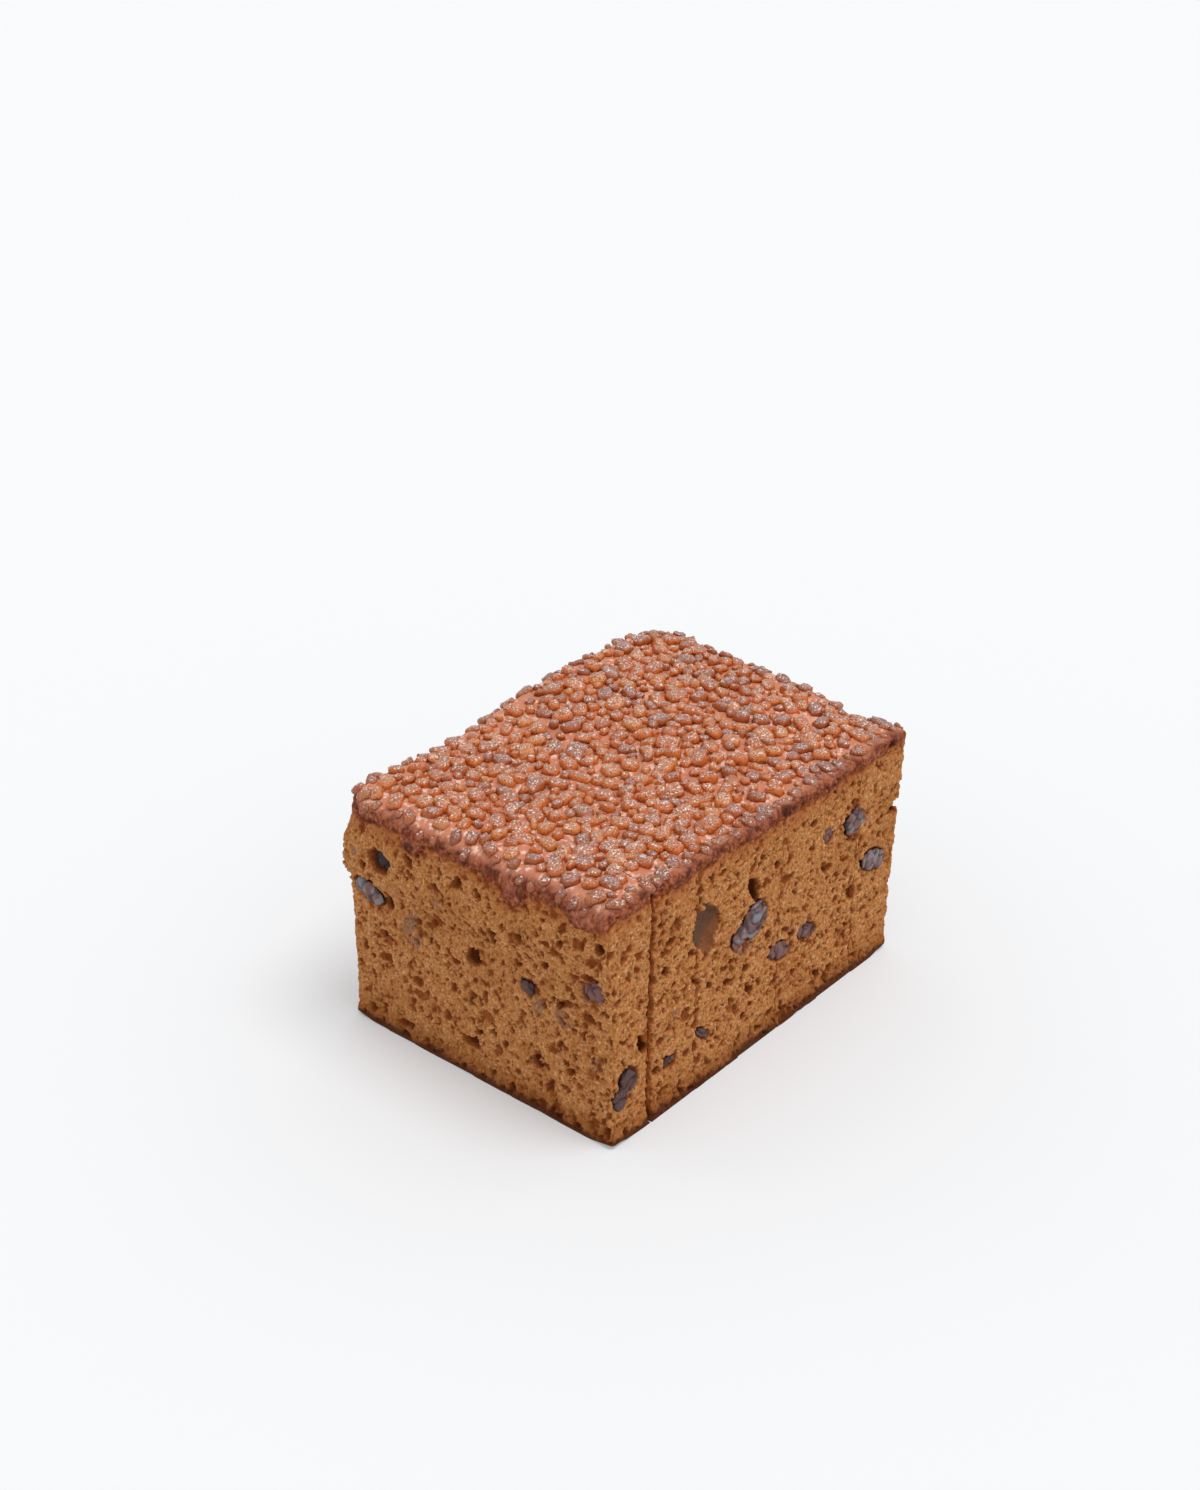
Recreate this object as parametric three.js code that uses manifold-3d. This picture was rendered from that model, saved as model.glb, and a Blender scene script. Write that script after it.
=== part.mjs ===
// A gingerbread cake: one rectangular block of dark crumb, cut into seven slices that stand
// together. The top is a browned crust covered in baked sugar nibs, and raisins show in the
// four cut sides. Millimetres, +Z up. The origin is under the middle of the block, on the table.
// X runs through the slices, Y along each slice, and -Y is the long cut side with most raisins.
import * as THREE from "three";
import { ConvexGeometry } from "three/addons/geometries/ConvexGeometry.js";
import { mergeVertices } from "three/addons/utils/BufferGeometryUtils.js";
import Module from "manifold-3d";

const wasm = await Module();
wasm.setup();

// Driving sizes. The shapes below are worked out with x from 0 to LENGTH, y from 0 to DEPTH.
const LENGTH = 98;
const DEPTH = 71.7;
const FRONT_HEIGHT = 53.4; // table to the crust between the nibs, along the front edge
const BACK_RISE = { left: 1.6, right: 6.8 }; // how much higher the crust is at the back
const RIGHT_RISE = 1; // and at the front of the right end
// Along the right end the crust sinks near the front edge and swells near the back; place and
// width are shares of DEPTH.
const END_DIP = { depth: 2, place: 0.17, width: 0.08 };
const END_HUMP = { height: 0.5, place: 0.8, width: 0.11 };
const CUT_GAP = 0.3; // between neighbouring slices, and round each raisin
const FOOT_LIFT = 0.9; // the bottom corners curl up this much
const FRONT_LIP = 0.6; // the bottom crust sticks out this far past the cut faces
const MIDDLE = { x: 50.5, y: 36.8 }; // middle of the outline, seen from above

// Where the knife went through, at the table and at the crust.
const CUTS = [
  { foot: 11.3, top: 12.2 },
  { foot: 25.9, top: 26.4 },
  { foot: 40.2, top: 40.4 },
  { foot: 54.4, top: 54.6 },
  { foot: 69.3, top: 69.3 },
  { foot: 83.2, top: 83.2 },
];
const PAST = 20; // cutting shapes reach this far past the block
const SLICE_SHIFTS = [0.1, 0, -0.1, 0.1, -0.05, 0.15, 0]; // along Y, a slice proud or shy

// Roundings of the upright corners and of the crust's edges.
const CORNERS = [
  { x: 0, y: 0, foot: 0.8, top: 2.2 },
  { x: 1, y: 0, foot: 1.2, top: 2.2 },
  { x: 0, y: 1, foot: 1, top: 7 },
  { x: 1, y: 1, foot: 3, top: 11 },
];
const CRUST_ROUND = { left: 5, right: 2.6, front: 0.8, back: 4 };

// Nibs: rounded grains of sugar, half sunk in the crust.
const NIB_SEED = 20;
const NIB_SPACING = 4.2;
const NIB_TRIES = 9000;
const NIB_LENGTH = { min: 3.2, max: 4.6 };
const NIB_SLIMNESS = { min: 0.62, max: 0.9 }; // width over length
const NIB_HEIGHT = { min: 1.15, max: 1.55 }; // what stands out of the crust
const NIB_SIDES = 5;
const NIB_SHOULDER = 0.4; // a nib is widest at this share of its height
const NIB_ROOT = 3; // a nib narrows to a point this far below the crust
const NIB_RIM = 6; // nibs lie flatter this close to the crust's edges
const NIB_MARGIN = { left: 2, right: 0.8, front: -0.5, back: 0.9 };
const BARE_PATCHES = [
  { x: 68.5, y: 47.5, length: 6.5, width: 4, turn: 20 },
  { x: 85, y: 18.5, length: 7, width: 5, turn: 60 },
  { x: 41, y: 38, length: 5, width: 3, turn: 30 },
  { x: 55, y: 2.5, length: 7, width: 4, turn: 0 },
];

// Raisins. Faces "front" and "back" are the long cut sides with at = [x, z]; face "end" is the
// left end and "far" the right end, with at = [y, z]. size is across and up, turn tilts it
// anticlockwise as seen from outside, lobe is a second lobe's offset across and up and its share
// of the size, and sunk is how far a raisin lies back in a hole.
const RAISINS = [
  { name: "corner", face: "front", at: [4.9, 13.4], size: [5.6, 6.6], turn: 30, lobe: [-2.3, -3.3, 0.85] },
  { name: "low_left", face: "front", at: [18, 10.9], size: [4.4, 2.4], turn: 10 },
  { name: "low_second", face: "front", at: [28.6, 12], size: [6, 2.2], turn: -38 },
  { name: "large", face: "front", at: [45.6, 31], size: [9.4, 8.4], turn: 20, lobe: [-5.6, -1.9, 0.62] },
  { name: "purple", face: "front", at: [55.4, 18.8], size: [9, 4.8], turn: -12 },
  { name: "purple_small", face: "front", at: [65, 19.2], size: [8, 3.8], turn: -16 },
  { name: "high_small", face: "front", at: [72, 39.6], size: [4, 4], turn: 0 },
  { name: "high", face: "front", at: [81.6, 39], size: [7.4, 6.4], turn: 30 },
  { name: "right", face: "front", at: [90.6, 25.9], size: [10.4, 5.8], turn: -20 },
  { name: "end_edge", face: "end", at: [66.6, 33], size: [9.8, 4.8], turn: -16 },
  { name: "end_high", face: "end", at: [61.5, 42.1], size: [5.6, 4.6], turn: -10, sunk: 1.5 },
  { name: "end_middle", face: "end", at: [21.8, 28.2], size: [4.2, 3.7], turn: 0 },
  { name: "end_corner", face: "end", at: [5, 33.8], size: [5.6, 5.4], turn: 0 },
  { name: "back_high", face: "back", at: [18.6, 39.4], size: [8.2, 5.8], turn: 24 },
  { name: "back_large", face: "back", at: [47.4, 24.6], size: [9.2, 6.6], turn: -14 },
  { name: "back_low", face: "back", at: [62, 11.8], size: [6.4, 4.4], turn: 8 },
  { name: "back_right", face: "back", at: [76.2, 35.2], size: [7.6, 6.2], turn: -34 },
  { name: "far_high", face: "far", at: [15.4, 40.2], size: [7.8, 5.6], turn: 18 },
  { name: "far_middle", face: "far", at: [37.6, 20.8], size: [9.4, 6], turn: -22 },
  { name: "far_low", face: "far", at: [58.2, 31.6], size: [6, 5.2], turn: 40 },
];
const RAISIN_PROUD = 0.5; // how far a raisin stands out of its cut face, where it is widest
const RAISIN_DEPTH = 0.4; // how deep it sits in the face, as a share of its smaller size
const RAISIN_WRINKLE = 0.07; // share of its size that its skin waves in and out
const RAISIN_FACETS = [8, 5]; // round it and from end to end
const SMALLEST_PIECE = 1.5; // cubic millimetres; a thinner shaving off a raisin is dropped
const WHOLE_SHARE = 0.98; // a piece that holds this share of a raisin counts as all of it

const HOLE_FACETS = [7, 4];

// The largest air holes and torn places in the cut faces, placed as the raisins are.
const HOLES = [
  { face: "front", at: [28.4, 38.2], size: [8, 10.6], turn: 12, depth: 2.2 },
  { face: "front", at: [45, 38.3], size: [7.4, 3], turn: -62, depth: 3 },
  { face: "front", at: [9.3, 19.4], size: [5.6, 2.2], turn: -62, depth: 3 },
  { face: "front", at: [81.8, 43.6], size: [2.6, 2.4], turn: 0, depth: 2 },
  { face: "front", at: [99.4, 36.4], size: [8, 2.8], turn: 15, depth: 3 },
  { face: "end", at: [36.6, 28.9], size: [4.2, 4.6], turn: 20, depth: 2.4 },
  { face: "end", at: [37.9, 7.7], size: [5, 2.8], turn: 0, depth: 1.8 },
  { face: "end", at: [4.6, 37.6], size: [4.6, 2.2], turn: 0, depth: 1.6 },
  { face: "end", at: [60.6, 32.2], size: [2.8, 3], turn: 0, depth: 2.2 },
  { face: "end", at: [61.5, 42.1], size: [6.4, 5.6], turn: -10, depth: 2.2 },
];

function seededRandom(seed) {
  let state = seed;
  return () => {
    state = (Math.imul(state, 1664525) + 1013904223) >>> 0;
    return state / 4294967296;
  };
}

const mix = THREE.MathUtils.lerp;
const ease = THREE.MathUtils.smoothstep; // ease(value, start, end)

// The crust's height before its edges are rounded.
function crustHeight(x, y) {
  const u = x / LENGTH;
  const v = y / DEPTH;
  const rise = mix(BACK_RISE.left, BACK_RISE.right, ease(u, 0.25, 0.72));
  const dip = END_DIP.depth * Math.exp(-(((v - END_DIP.place) / END_DIP.width) ** 2));
  const hump = END_HUMP.height * Math.exp(-(((v - END_HUMP.place) / END_HUMP.width) ** 2));
  const waves = 0.15 * Math.sin(11 * u + 2 * v + 1) + 0.25 * Math.sin(13 * v - 5 * u);
  const end = RIGHT_RISE * (1 - v) * ease(u, 0.6, 1) + (hump - dip) * ease(u, 0.85, 1);
  return FRONT_HEIGHT + rise * v ** 0.9 + end + waves * ease(v, 0, 0.2);
}

// How far the rounded crust edge lies below crustHeight.
function edgeDrop(x, y) {
  const radiusX = x < LENGTH / 2 ? CRUST_ROUND.left : CRUST_ROUND.right;
  const radiusY = y < DEPTH / 2 ? CRUST_ROUND.front : CRUST_ROUND.back;
  const nearX = Math.max(0, 1 - Math.min(x, LENGTH - x) / radiusX);
  const nearY = Math.max(0, 1 - Math.min(y, DEPTH - y) / radiusY);
  const dropX = radiusX * (1 - Math.sqrt(1 - nearX ** 2));
  const dropY = radiusY * (1 - Math.sqrt(1 - nearY ** 2));
  return Math.max(dropX, dropY);
}

// The sides are not quite upright: the crust's rim bulges, the bottom crust has a lip and the
// right end leans out.
function sideShift(share) {
  const rim = ease(share, 0.66, 0.92);
  const lip = FRONT_LIP * (1 - ease(share, 0.01, 0.06));
  return {
    left: -lip - 1.6 * ease(share, 0.66, 0.82) + 0.7 * ease(share, 0.86, 1),
    right: 0.3 * ease(share, 0, 0.1) + 3 * share + 0.5 * rim,
    front: -lip,
    back: 0.9 - 0.2 * Math.sin(Math.PI * share) + 1.3 * rim,
  };
}

// The bottom is flat but for its four corners, which curl up.
function footLift(x, y) {
  const toCorner = Math.hypot(Math.min(x, LENGTH - x), Math.min(y, DEPTH - y));
  return FOOT_LIFT * (1 - ease(toCorner, 0, 7));
}

// Pulls a point of the square outline onto the rounded upright corner near it.
function roundCorner(point, share) {
  for (const corner of CORNERS) {
    const radius = mix(corner.foot, corner.top, ease(share, 0.8, 1));
    const edgeX = corner.x * LENGTH;
    const edgeY = corner.y * DEPTH;
    const a = radius - Math.abs(point.x - edgeX);
    const b = radius - Math.abs(point.y - edgeY);
    if (a <= 0 || b <= 0) continue;
    const pull = Math.max(a, b) / Math.hypot(a, b);
    point.x = edgeX + (corner.x ? -1 : 1) * (radius - a * pull);
    point.y = edgeY + (corner.y ? -1 : 1) * (radius - b * pull);
  }
}

// The point of the block at x, y and at this share of its height there.
function blockPoint(x, y, share) {
  const foot = footLift(x, y);
  const top = crustHeight(x, y) - edgeDrop(x, y);
  const point = new THREE.Vector3(x, y, mix(foot, top, share));
  roundCorner(point, share);
  const shift = sideShift(share);
  point.x += mix(shift.left, shift.right, x / LENGTH);
  point.y += mix(shift.front, shift.back, y / DEPTH);
  return point;
}

// Grid lines: closer together beside both edges, even between them.
function stations(length, edgeSteps, innerCount) {
  const last = edgeSteps[edgeSteps.length - 1];
  const lines = [...edgeSteps];
  for (let i = 1; i < innerCount; i += 1) {
    lines.push(mix(last, length - last, i / innerCount));
  }
  for (const step of [...edgeSteps].reverse()) {
    lines.push(length - step);
  }
  return lines;
}

const X_LINES = stations(LENGTH, [0, 1.5, 4.5, 8], 7);
const Y_LINES = stations(DEPTH, [0, 1.5, 4.5, 8], 5);
const HEIGHT_SHARES = [0, 0.06, 0.62, 0.8, 0.93, 1];

function toSolid(geometry) {
  geometry.deleteAttribute("normal");
  geometry.deleteAttribute("uv");
  const merged = mergeVertices(geometry, 1e-4);
  const mesh = new wasm.Mesh({
    numProp: 3,
    vertProperties: merged.getAttribute("position").array,
    triVerts: new Uint32Array(merged.index.array),
  });
  return new wasm.Manifold(mesh);
}

function toGeometry(solid) {
  const mesh = solid.getMesh();
  const geometry = new THREE.BufferGeometry();
  geometry.setAttribute("position", new THREE.BufferAttribute(mesh.vertProperties, 3));
  geometry.setIndex(new THREE.BufferAttribute(mesh.triVerts, 1));
  geometry.computeVertexNormals();
  return geometry;
}

function largestBody(solid) {
  const bodies = solid.decompose();
  return bodies.reduce((best, body) => (body.volume() > best.volume() ? body : best));
}

function block() {
  const [across, along, up] = [X_LINES, Y_LINES, HEIGHT_SHARES].map((lines) => lines.length - 1);
  const geometry = new THREE.BoxGeometry(across, along, up, across, along, up);
  const position = geometry.getAttribute("position");
  for (let i = 0; i < position.count; i += 1) {
    const x = X_LINES[Math.round(position.getX(i) + across / 2)];
    const y = Y_LINES[Math.round(position.getY(i) + along / 2)];
    const share = HEIGHT_SHARES[Math.round(position.getZ(i) + up / 2)];
    const point = blockPoint(x, y, share);
    position.setXYZ(i, point.x, point.y, point.z);
  }
  return toSolid(geometry);
}

function inPatch(x, y, patch) {
  const turn = THREE.MathUtils.degToRad(patch.turn);
  const along = (x - patch.x) * Math.cos(turn) + (y - patch.y) * Math.sin(turn);
  const across = (y - patch.y) * Math.cos(turn) - (x - patch.x) * Math.sin(turn);
  return Math.hypot(along / patch.length, across / patch.width) < 0.5;
}

// Random places no closer than NIB_SPACING, with each nib's own size and turn.
function nibPlaces() {
  const random = seededRandom(NIB_SEED);
  const places = [];
  for (let i = 0; i < NIB_TRIES; i += 1) {
    const x = mix(NIB_MARGIN.left, LENGTH - NIB_MARGIN.right, random());
    const y = mix(NIB_MARGIN.front, DEPTH - NIB_MARGIN.back, random());
    const crowded = places.some((p) => Math.hypot(p.x - x, p.y - y) < NIB_SPACING);
    if (crowded || BARE_PATCHES.some((patch) => inPatch(x, y, patch))) continue;
    places.push({
      x,
      y,
      length: mix(NIB_LENGTH.min, NIB_LENGTH.max, random() ** 2),
      slimness: mix(NIB_SLIMNESS.min, NIB_SLIMNESS.max, random()),
      height: mix(NIB_HEIGHT.min, NIB_HEIGHT.max, random()),
      turn: random() * Math.PI,
    });
  }
  return places;
}

// A frame that lies on the crust at x, y, its z straight out of the crust.
function crustFrame(x, y) {
  const step = 0.5;
  const inside = Math.max(y, step);
  const alongX = blockPoint(x + step, inside, 1).sub(blockPoint(x - step, inside, 1)).normalize();
  const alongY = blockPoint(x, inside + step, 1).sub(blockPoint(x, inside - step, 1)).normalize();
  const normal = alongX.clone().cross(alongY).normalize();
  const sideways = normal.clone().cross(alongX);
  const origin = blockPoint(x, Math.max(y, 0), 1);
  origin.y += Math.min(y, 0);
  return new THREE.Matrix4().makeBasis(alongX, sideways, normal).setPosition(origin);
}

// A pebble with a short ridge on top and a root that holds it in the crust.
function nib(place) {
  const halfLength = place.length / 2;
  const inside = Math.min(place.x, LENGTH - place.x, place.y, DEPTH - place.y);
  const height = place.height * mix(0.5, 1, ease(inside, 0, NIB_RIM));
  const points = [new THREE.Vector3(0, 0, -NIB_ROOT)];
  for (let i = 0; i < NIB_SIDES; i += 1) {
    const angle = (i / NIB_SIDES) * 2 * Math.PI;
    const across = halfLength * place.slimness * Math.sin(angle);
    points.push(new THREE.Vector3(halfLength * Math.cos(angle), across, height * NIB_SHOULDER));
  }
  for (const side of [-1, 1]) {
    points.push(new THREE.Vector3(side * halfLength * NIB_SHOULDER, 0, height));
  }
  const geometry = new ConvexGeometry(points);
  geometry.rotateZ(place.turn);
  geometry.applyMatrix4(crustFrame(place.x, place.y));
  return toSolid(geometry);
}

// A wrinkled ball, nearly flat outside its cut face: x across, y into the cake, z up the face.
function raisinGeometry(size, margin) {
  const geometry = new THREE.SphereGeometry(1, ...RAISIN_FACETS);
  const position = geometry.getAttribute("position");
  const [halfWidth, halfHeight] = size.map((length) => length / 2 + margin);
  const depth = RAISIN_DEPTH * Math.min(...size) + margin;
  const point = new THREE.Vector3();
  for (let i = 0; i < position.count; i += 1) {
    point.fromBufferAttribute(position, i);
    const wrinkle = 1 + RAISIN_WRINKLE * Math.sin(5 * point.x + 2) * Math.sin(4 * point.z + 1);
    point.multiplyScalar(wrinkle);
    const y = point.y * (point.y < 0 ? RAISIN_PROUD + margin : depth);
    position.setXYZ(i, point.x * halfWidth, y, point.z * halfHeight);
  }
  return geometry;
}

// Carries a shape from its own face frame to where the spec puts it on the block.
function facePlacement(spec) {
  const [across, up] = spec.at;
  const shift = sideShift(up / FRONT_HEIGHT);
  const faces = {
    front: { quarterTurns: 0, x: across, y: 0 },
    end: { quarterTurns: -1, x: shift.left, y: across },
    back: { quarterTurns: 2, x: across, y: DEPTH + shift.back },
    far: { quarterTurns: 1, x: LENGTH + shift.right, y: across },
  };
  const { quarterTurns, x, y } = faces[spec.face];
  const tilt = new THREE.Matrix4().makeRotationY(-THREE.MathUtils.degToRad(spec.turn));
  const place = new THREE.Matrix4().makeRotationZ((quarterTurns * Math.PI) / 2);
  return place.setPosition(x, y, up).multiply(tilt);
}

// A raisin, or with a margin the pocket it sits in; some have a second, smaller lobe.
function raisinSolid(spec, margin) {
  const main = raisinGeometry(spec.size, margin);
  main.translate(0, spec.sunk ?? 0, 0);
  const solid = toSolid(main.applyMatrix4(facePlacement(spec)));
  if (!spec.lobe) return solid;
  const [across, up, share] = spec.lobe;
  const small = raisinGeometry(spec.size.map((length) => length * share), margin);
  const untilted = { ...spec, at: [spec.at[0] + across, spec.at[1] + up] };
  return solid.add(toSolid(small.applyMatrix4(facePlacement(untilted))));
}

function holeSolid(spec) {
  const geometry = new THREE.SphereGeometry(1, ...HOLE_FACETS);
  geometry.scale(spec.size[0] / 2, spec.depth, spec.size[1] / 2);
  return toSolid(geometry.applyMatrix4(facePlacement(spec)));
}

// A slab between two cuts from frontY to past the back; an end slab also reaches past its end.
function sliceSlab(index, frontY) {
  const leftEnd = { foot: -PAST, top: -PAST };
  const rightEnd = { foot: LENGTH + PAST, top: LENGTH + PAST };
  const left = CUTS[index - 1] ?? leftEnd;
  const right = CUTS[index] ?? rightEnd;
  const geometry = new THREE.BoxGeometry(1, 1, 1);
  const position = geometry.getAttribute("position");
  for (let i = 0; i < position.count; i += 1) {
    const onLeft = position.getX(i) < 0;
    const cut = onLeft ? left : right;
    const inward = onLeft ? CUT_GAP / 2 : -CUT_GAP / 2;
    const lean = (cut.top - cut.foot) / FRONT_HEIGHT;
    const y = position.getY(i) < 0 ? frontY : DEPTH + PAST;
    const z = position.getZ(i) < 0 ? -PAST : FRONT_HEIGHT + PAST;
    position.setXYZ(i, cut.foot + lean * z + inward, y, z);
  }
  return toSolid(geometry);
}

const crumb = new THREE.MeshStandardMaterial({ color: 0x9c6638, roughness: 0.95, metalness: 0 });
const raisin = new THREE.MeshStandardMaterial({ color: 0x4a3b3e, roughness: 0.5, metalness: 0 });

const cake = new THREE.Group();

function addMesh(name, solid, material, shiftY) {
  const mesh = new THREE.Mesh(toGeometry(largestBody(solid)), material);
  mesh.name = name;
  mesh.position.set(-MIDDLE.x, shiftY - MIDDLE.y, 0);
  cake.add(mesh);
}

const uncut = nibPlaces().reduce((solid, place) => solid.add(nib(place)), block());
const pockets = RAISINS.map((spec) => raisinSolid(spec, CUT_GAP));
const hollows = [...pockets, ...HOLES.map(holeSolid)];

SLICE_SHIFTS.forEach((shiftY, index) => {
  const slab = sliceSlab(index, -FRONT_LIP);
  const slice = hollows.reduce((solid, hollow) => solid.subtract(hollow), uncut.intersect(slab));
  addMesh("slice_" + (index + 1), slice, crumb, shiftY);
});

// A raisin that lies across a cut is cut too, one piece in each slice.
for (const spec of RAISINS) {
  const solid = raisinSolid(spec, 0);
  SLICE_SHIFTS.forEach((shiftY, index) => {
    const piece = solid.intersect(sliceSlab(index, -PAST));
    if (piece.volume() < SMALLEST_PIECE) return;
    const isWhole = piece.volume() > WHOLE_SHARE * solid.volume();
    const name = "raisin_" + spec.name + (isWhole ? "" : "_in_slice_" + (index + 1));
    addMesh(name, piece, raisin, shiftY);
  });
}

export default cake;
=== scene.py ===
import math

import bmesh
import bpy
import numpy as np
from mathutils import Euler, Matrix, Vector, noise
from mathutils.bvhtree import BVHTree


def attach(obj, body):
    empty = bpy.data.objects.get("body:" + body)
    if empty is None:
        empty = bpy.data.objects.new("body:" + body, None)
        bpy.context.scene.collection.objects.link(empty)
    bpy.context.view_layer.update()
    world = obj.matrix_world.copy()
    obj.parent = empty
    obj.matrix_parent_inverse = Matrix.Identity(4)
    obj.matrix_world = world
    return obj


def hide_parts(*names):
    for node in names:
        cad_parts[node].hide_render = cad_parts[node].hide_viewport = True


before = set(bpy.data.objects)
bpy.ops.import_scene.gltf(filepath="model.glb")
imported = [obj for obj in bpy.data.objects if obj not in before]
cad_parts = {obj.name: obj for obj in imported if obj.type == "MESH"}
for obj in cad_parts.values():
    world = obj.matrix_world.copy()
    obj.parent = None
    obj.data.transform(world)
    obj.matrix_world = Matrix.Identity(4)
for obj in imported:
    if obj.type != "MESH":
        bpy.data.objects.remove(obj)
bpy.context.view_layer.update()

# A gingerbread cake in seven slices: open crumb on four cut sides, a browned crust covered in
# baked sugar nibs on top, raisins in the cut sides. Shapes are worked out in millimetres, in
# the block's own frame: x from 0 to LENGTH through the slices, y from 0 to DEPTH along them.
MM = 0.001

# ---- the block, with the sizes of its CAD solids ----
LENGTH = 98
DEPTH = 71.7
FRONT_HEIGHT = 53.4
BACK_RISE = {"left": 1.6, "right": 6.8}
RIGHT_RISE = 1
END_DIP = {"depth": 2, "place": 0.17, "width": 0.08}
END_HUMP = {"height": 0.5, "place": 0.8, "width": 0.11}
FOOT_LIFT = 0.9
FRONT_LIP = 0.6
MIDDLE = (50.5, 36.8, 0)
CUTS = [(11.3, 12.2), (25.9, 26.4), (40.2, 40.4), (54.4, 54.6), (69.3, 69.3), (83.2, 83.2)]
SLICE_SHIFTS = [0.1, 0, -0.1, 0.1, -0.05, 0.15, 0]
CORNERS = [(0, 0, 0.8, 2.2), (1, 0, 1.2, 2.2), (0, 1, 1, 7), (1, 1, 3, 11)]  # side, side, foot, top
CRUST_ROUND = {"left": 5, "right": 2.6, "front": 0.8, "back": 4}
CORNER_WEAR = {"depth": 1.8, "reach": 9}  # the crust's back left corner is rubbed down
CRUST_WAVES = [(0.15, 11, 2, 1), (0.25, -5, 13, 0)]  # height, turn along and across, start
TINY = 1e-6  # stands in for nought where something is divided by it
# Steps by which a side leans out or in: how far, and from where to where up the side.
SIDE_STEPS = {
    "left": [(-1.6, 0.66, 0.82), (0.7, 0.86, 1)],
    "right": [(0.3, 0, 0.1), (0.5, 0.66, 0.92)],
    "back": [(1.3, 0.66, 0.92)],
}
RIGHT_LEAN = 3
BACK_STAND = 0.9
BACK_HOLLOW = 0.2
CORNER_SPREAD = (0.8, 1)  # a corner widens from its foot's radius to its top's between these
FOOT_CORNER = 7  # the foot is lifted this close to a corner

# Seams between the slices: the gap, and how far the crumb beside it has worn back.
SEAM_GAPS = [0.3, 0.05, 0.04, 0.04, 0.04, 0.04]
SEAM_WEAR = [1.4, 0.35, 0.15, 0.2, 0.12, 0.15]
SEAM_WIDTH = 0.55
SEAM_PITS = 26  # crumbs that broke away along a cut, for each millimetre of wear

# ---- sugar nibs, the same draw as in the solids, then smaller ones between them ----
# How many places are tried, the room each nib has, its size, and how far it stays off each side.
NIB_SEED = 20
LARGE_NIBS = {
    "tries": 9000, "spacing": 4.2, "length": (3.2, 4.6), "height": (1.15, 1.55),
    "left": 2, "right": 0.8, "front": -0.5, "back": 0.9,
}
SMALL_NIBS = {
    "tries": 12000, "spacing": 2.5, "length": (1.8, 3.2), "height": (0.9, 1.4),
    "left": 0.4, "right": 0.8, "front": 0.5, "back": 0.9,
}
NIB_SLIMNESS = (0.62, 0.9)
BARE_PATCHES = [(68.5, 47.5, 6.5, 4, 20), (85, 18.5, 7, 5, 60), (41, 38, 5, 3, 30), (55, 2.5, 7, 4, 0)]
NIB_FIT = 0.78  # a grain is smaller than its stand-in in the solids
NIB_TILT = 0.35
NIB_OVERHANG = 0.8  # no nib lies further out than this at a rounded corner
NIB_RISE = (-0.1, 0.28)  # where a nib's middle lies over the crust, by its height
NIB_BULK = 1.32  # its whole height, by what stands out
NIB_RIM = 6  # nibs lie flatter this close to the crust's edges
RIM_SHARE = {"wide": 0.75, "high": 0.38}  # of their size, at the very edge
NIB_INSET = 0.42  # of its length: a nib's middle lies this far inside the sides
NIB_ROUNDNESS = 0.5  # 0 is a cube, 1 a ball
NIB_LUMPS = {"size": 1.25, "height": 0.42, "dent": -0.168}
NIB_SKIRT = {"reach": 1.6, "height": 0.22}  # crust drawn up against a nib

# ---- crumb: pores per square millimetre, smallest and largest half width, depth over width ----
PORES = [(1.6, 0.2, 0.42, 1.1), (0.42, 0.38, 0.8, 1.4), (0.055, 0.7, 1.3, 1.4)]
PORE_WALL = 0.32  # the lower, the steeper their walls
RELIEF_STEP = 0.14
RELIEF_EDGE = 3
CRUST_BAND = {"front": 2.4, "back": 3.6, "end": 4.4, "far": 3}  # depth of brown crust on a side

# Larger holes: across, up, width, height, turn, depth.
FRONT_HOLES = [
    (45, 38.3, 7.4, 3, -62, 3), (9.3, 19.4, 5.6, 2.2, -62, 3), (81.8, 43.6, 2.6, 2.4, 0, 2),
    (99.4, 36.4, 8, 2.8, 15, 3), (24, 32.9, 3, 2.5, 20, 1.6), (17.8, 38.9, 3, 2, -15, 1.5),
    (37, 20.2, 4, 1.8, -10, 1.6), (45, 13.9, 3, 2.5, 0, 1.8), (22.8, 19.4, 3.6, 2.6, -40, 1.2),
    (57, 35.7, 4, 2.4, 0, 1.2), (57, 40.4, 3, 2, 20, 1.2), (65, 39.2, 3, 1.3, -10, 1.4),
    (82.2, 20.9, 3, 4, 35, 1.5), (39.8, 11.9, 2.6, 2.4, 0, 1.3), (48.5, 2.7, 3, 1.3, -10, 1.6),
    (82.5, 34.4, 3, 1.6, 0, 1.4), (60.5, 10.9, 2, 2, 0, 1.3), (72.5, 31.9, 2.5, 1.6, -20, 1.4),
    (80, 27.4, 2.4, 1.6, -30, 1.3), (55.5, 7.9, 2, 3, 0, 1), (57, 23.4, 3, 1.6, -25, 1.2),
    (36, 42.4, 2, 1.7, 0, 1.1),
]
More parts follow.
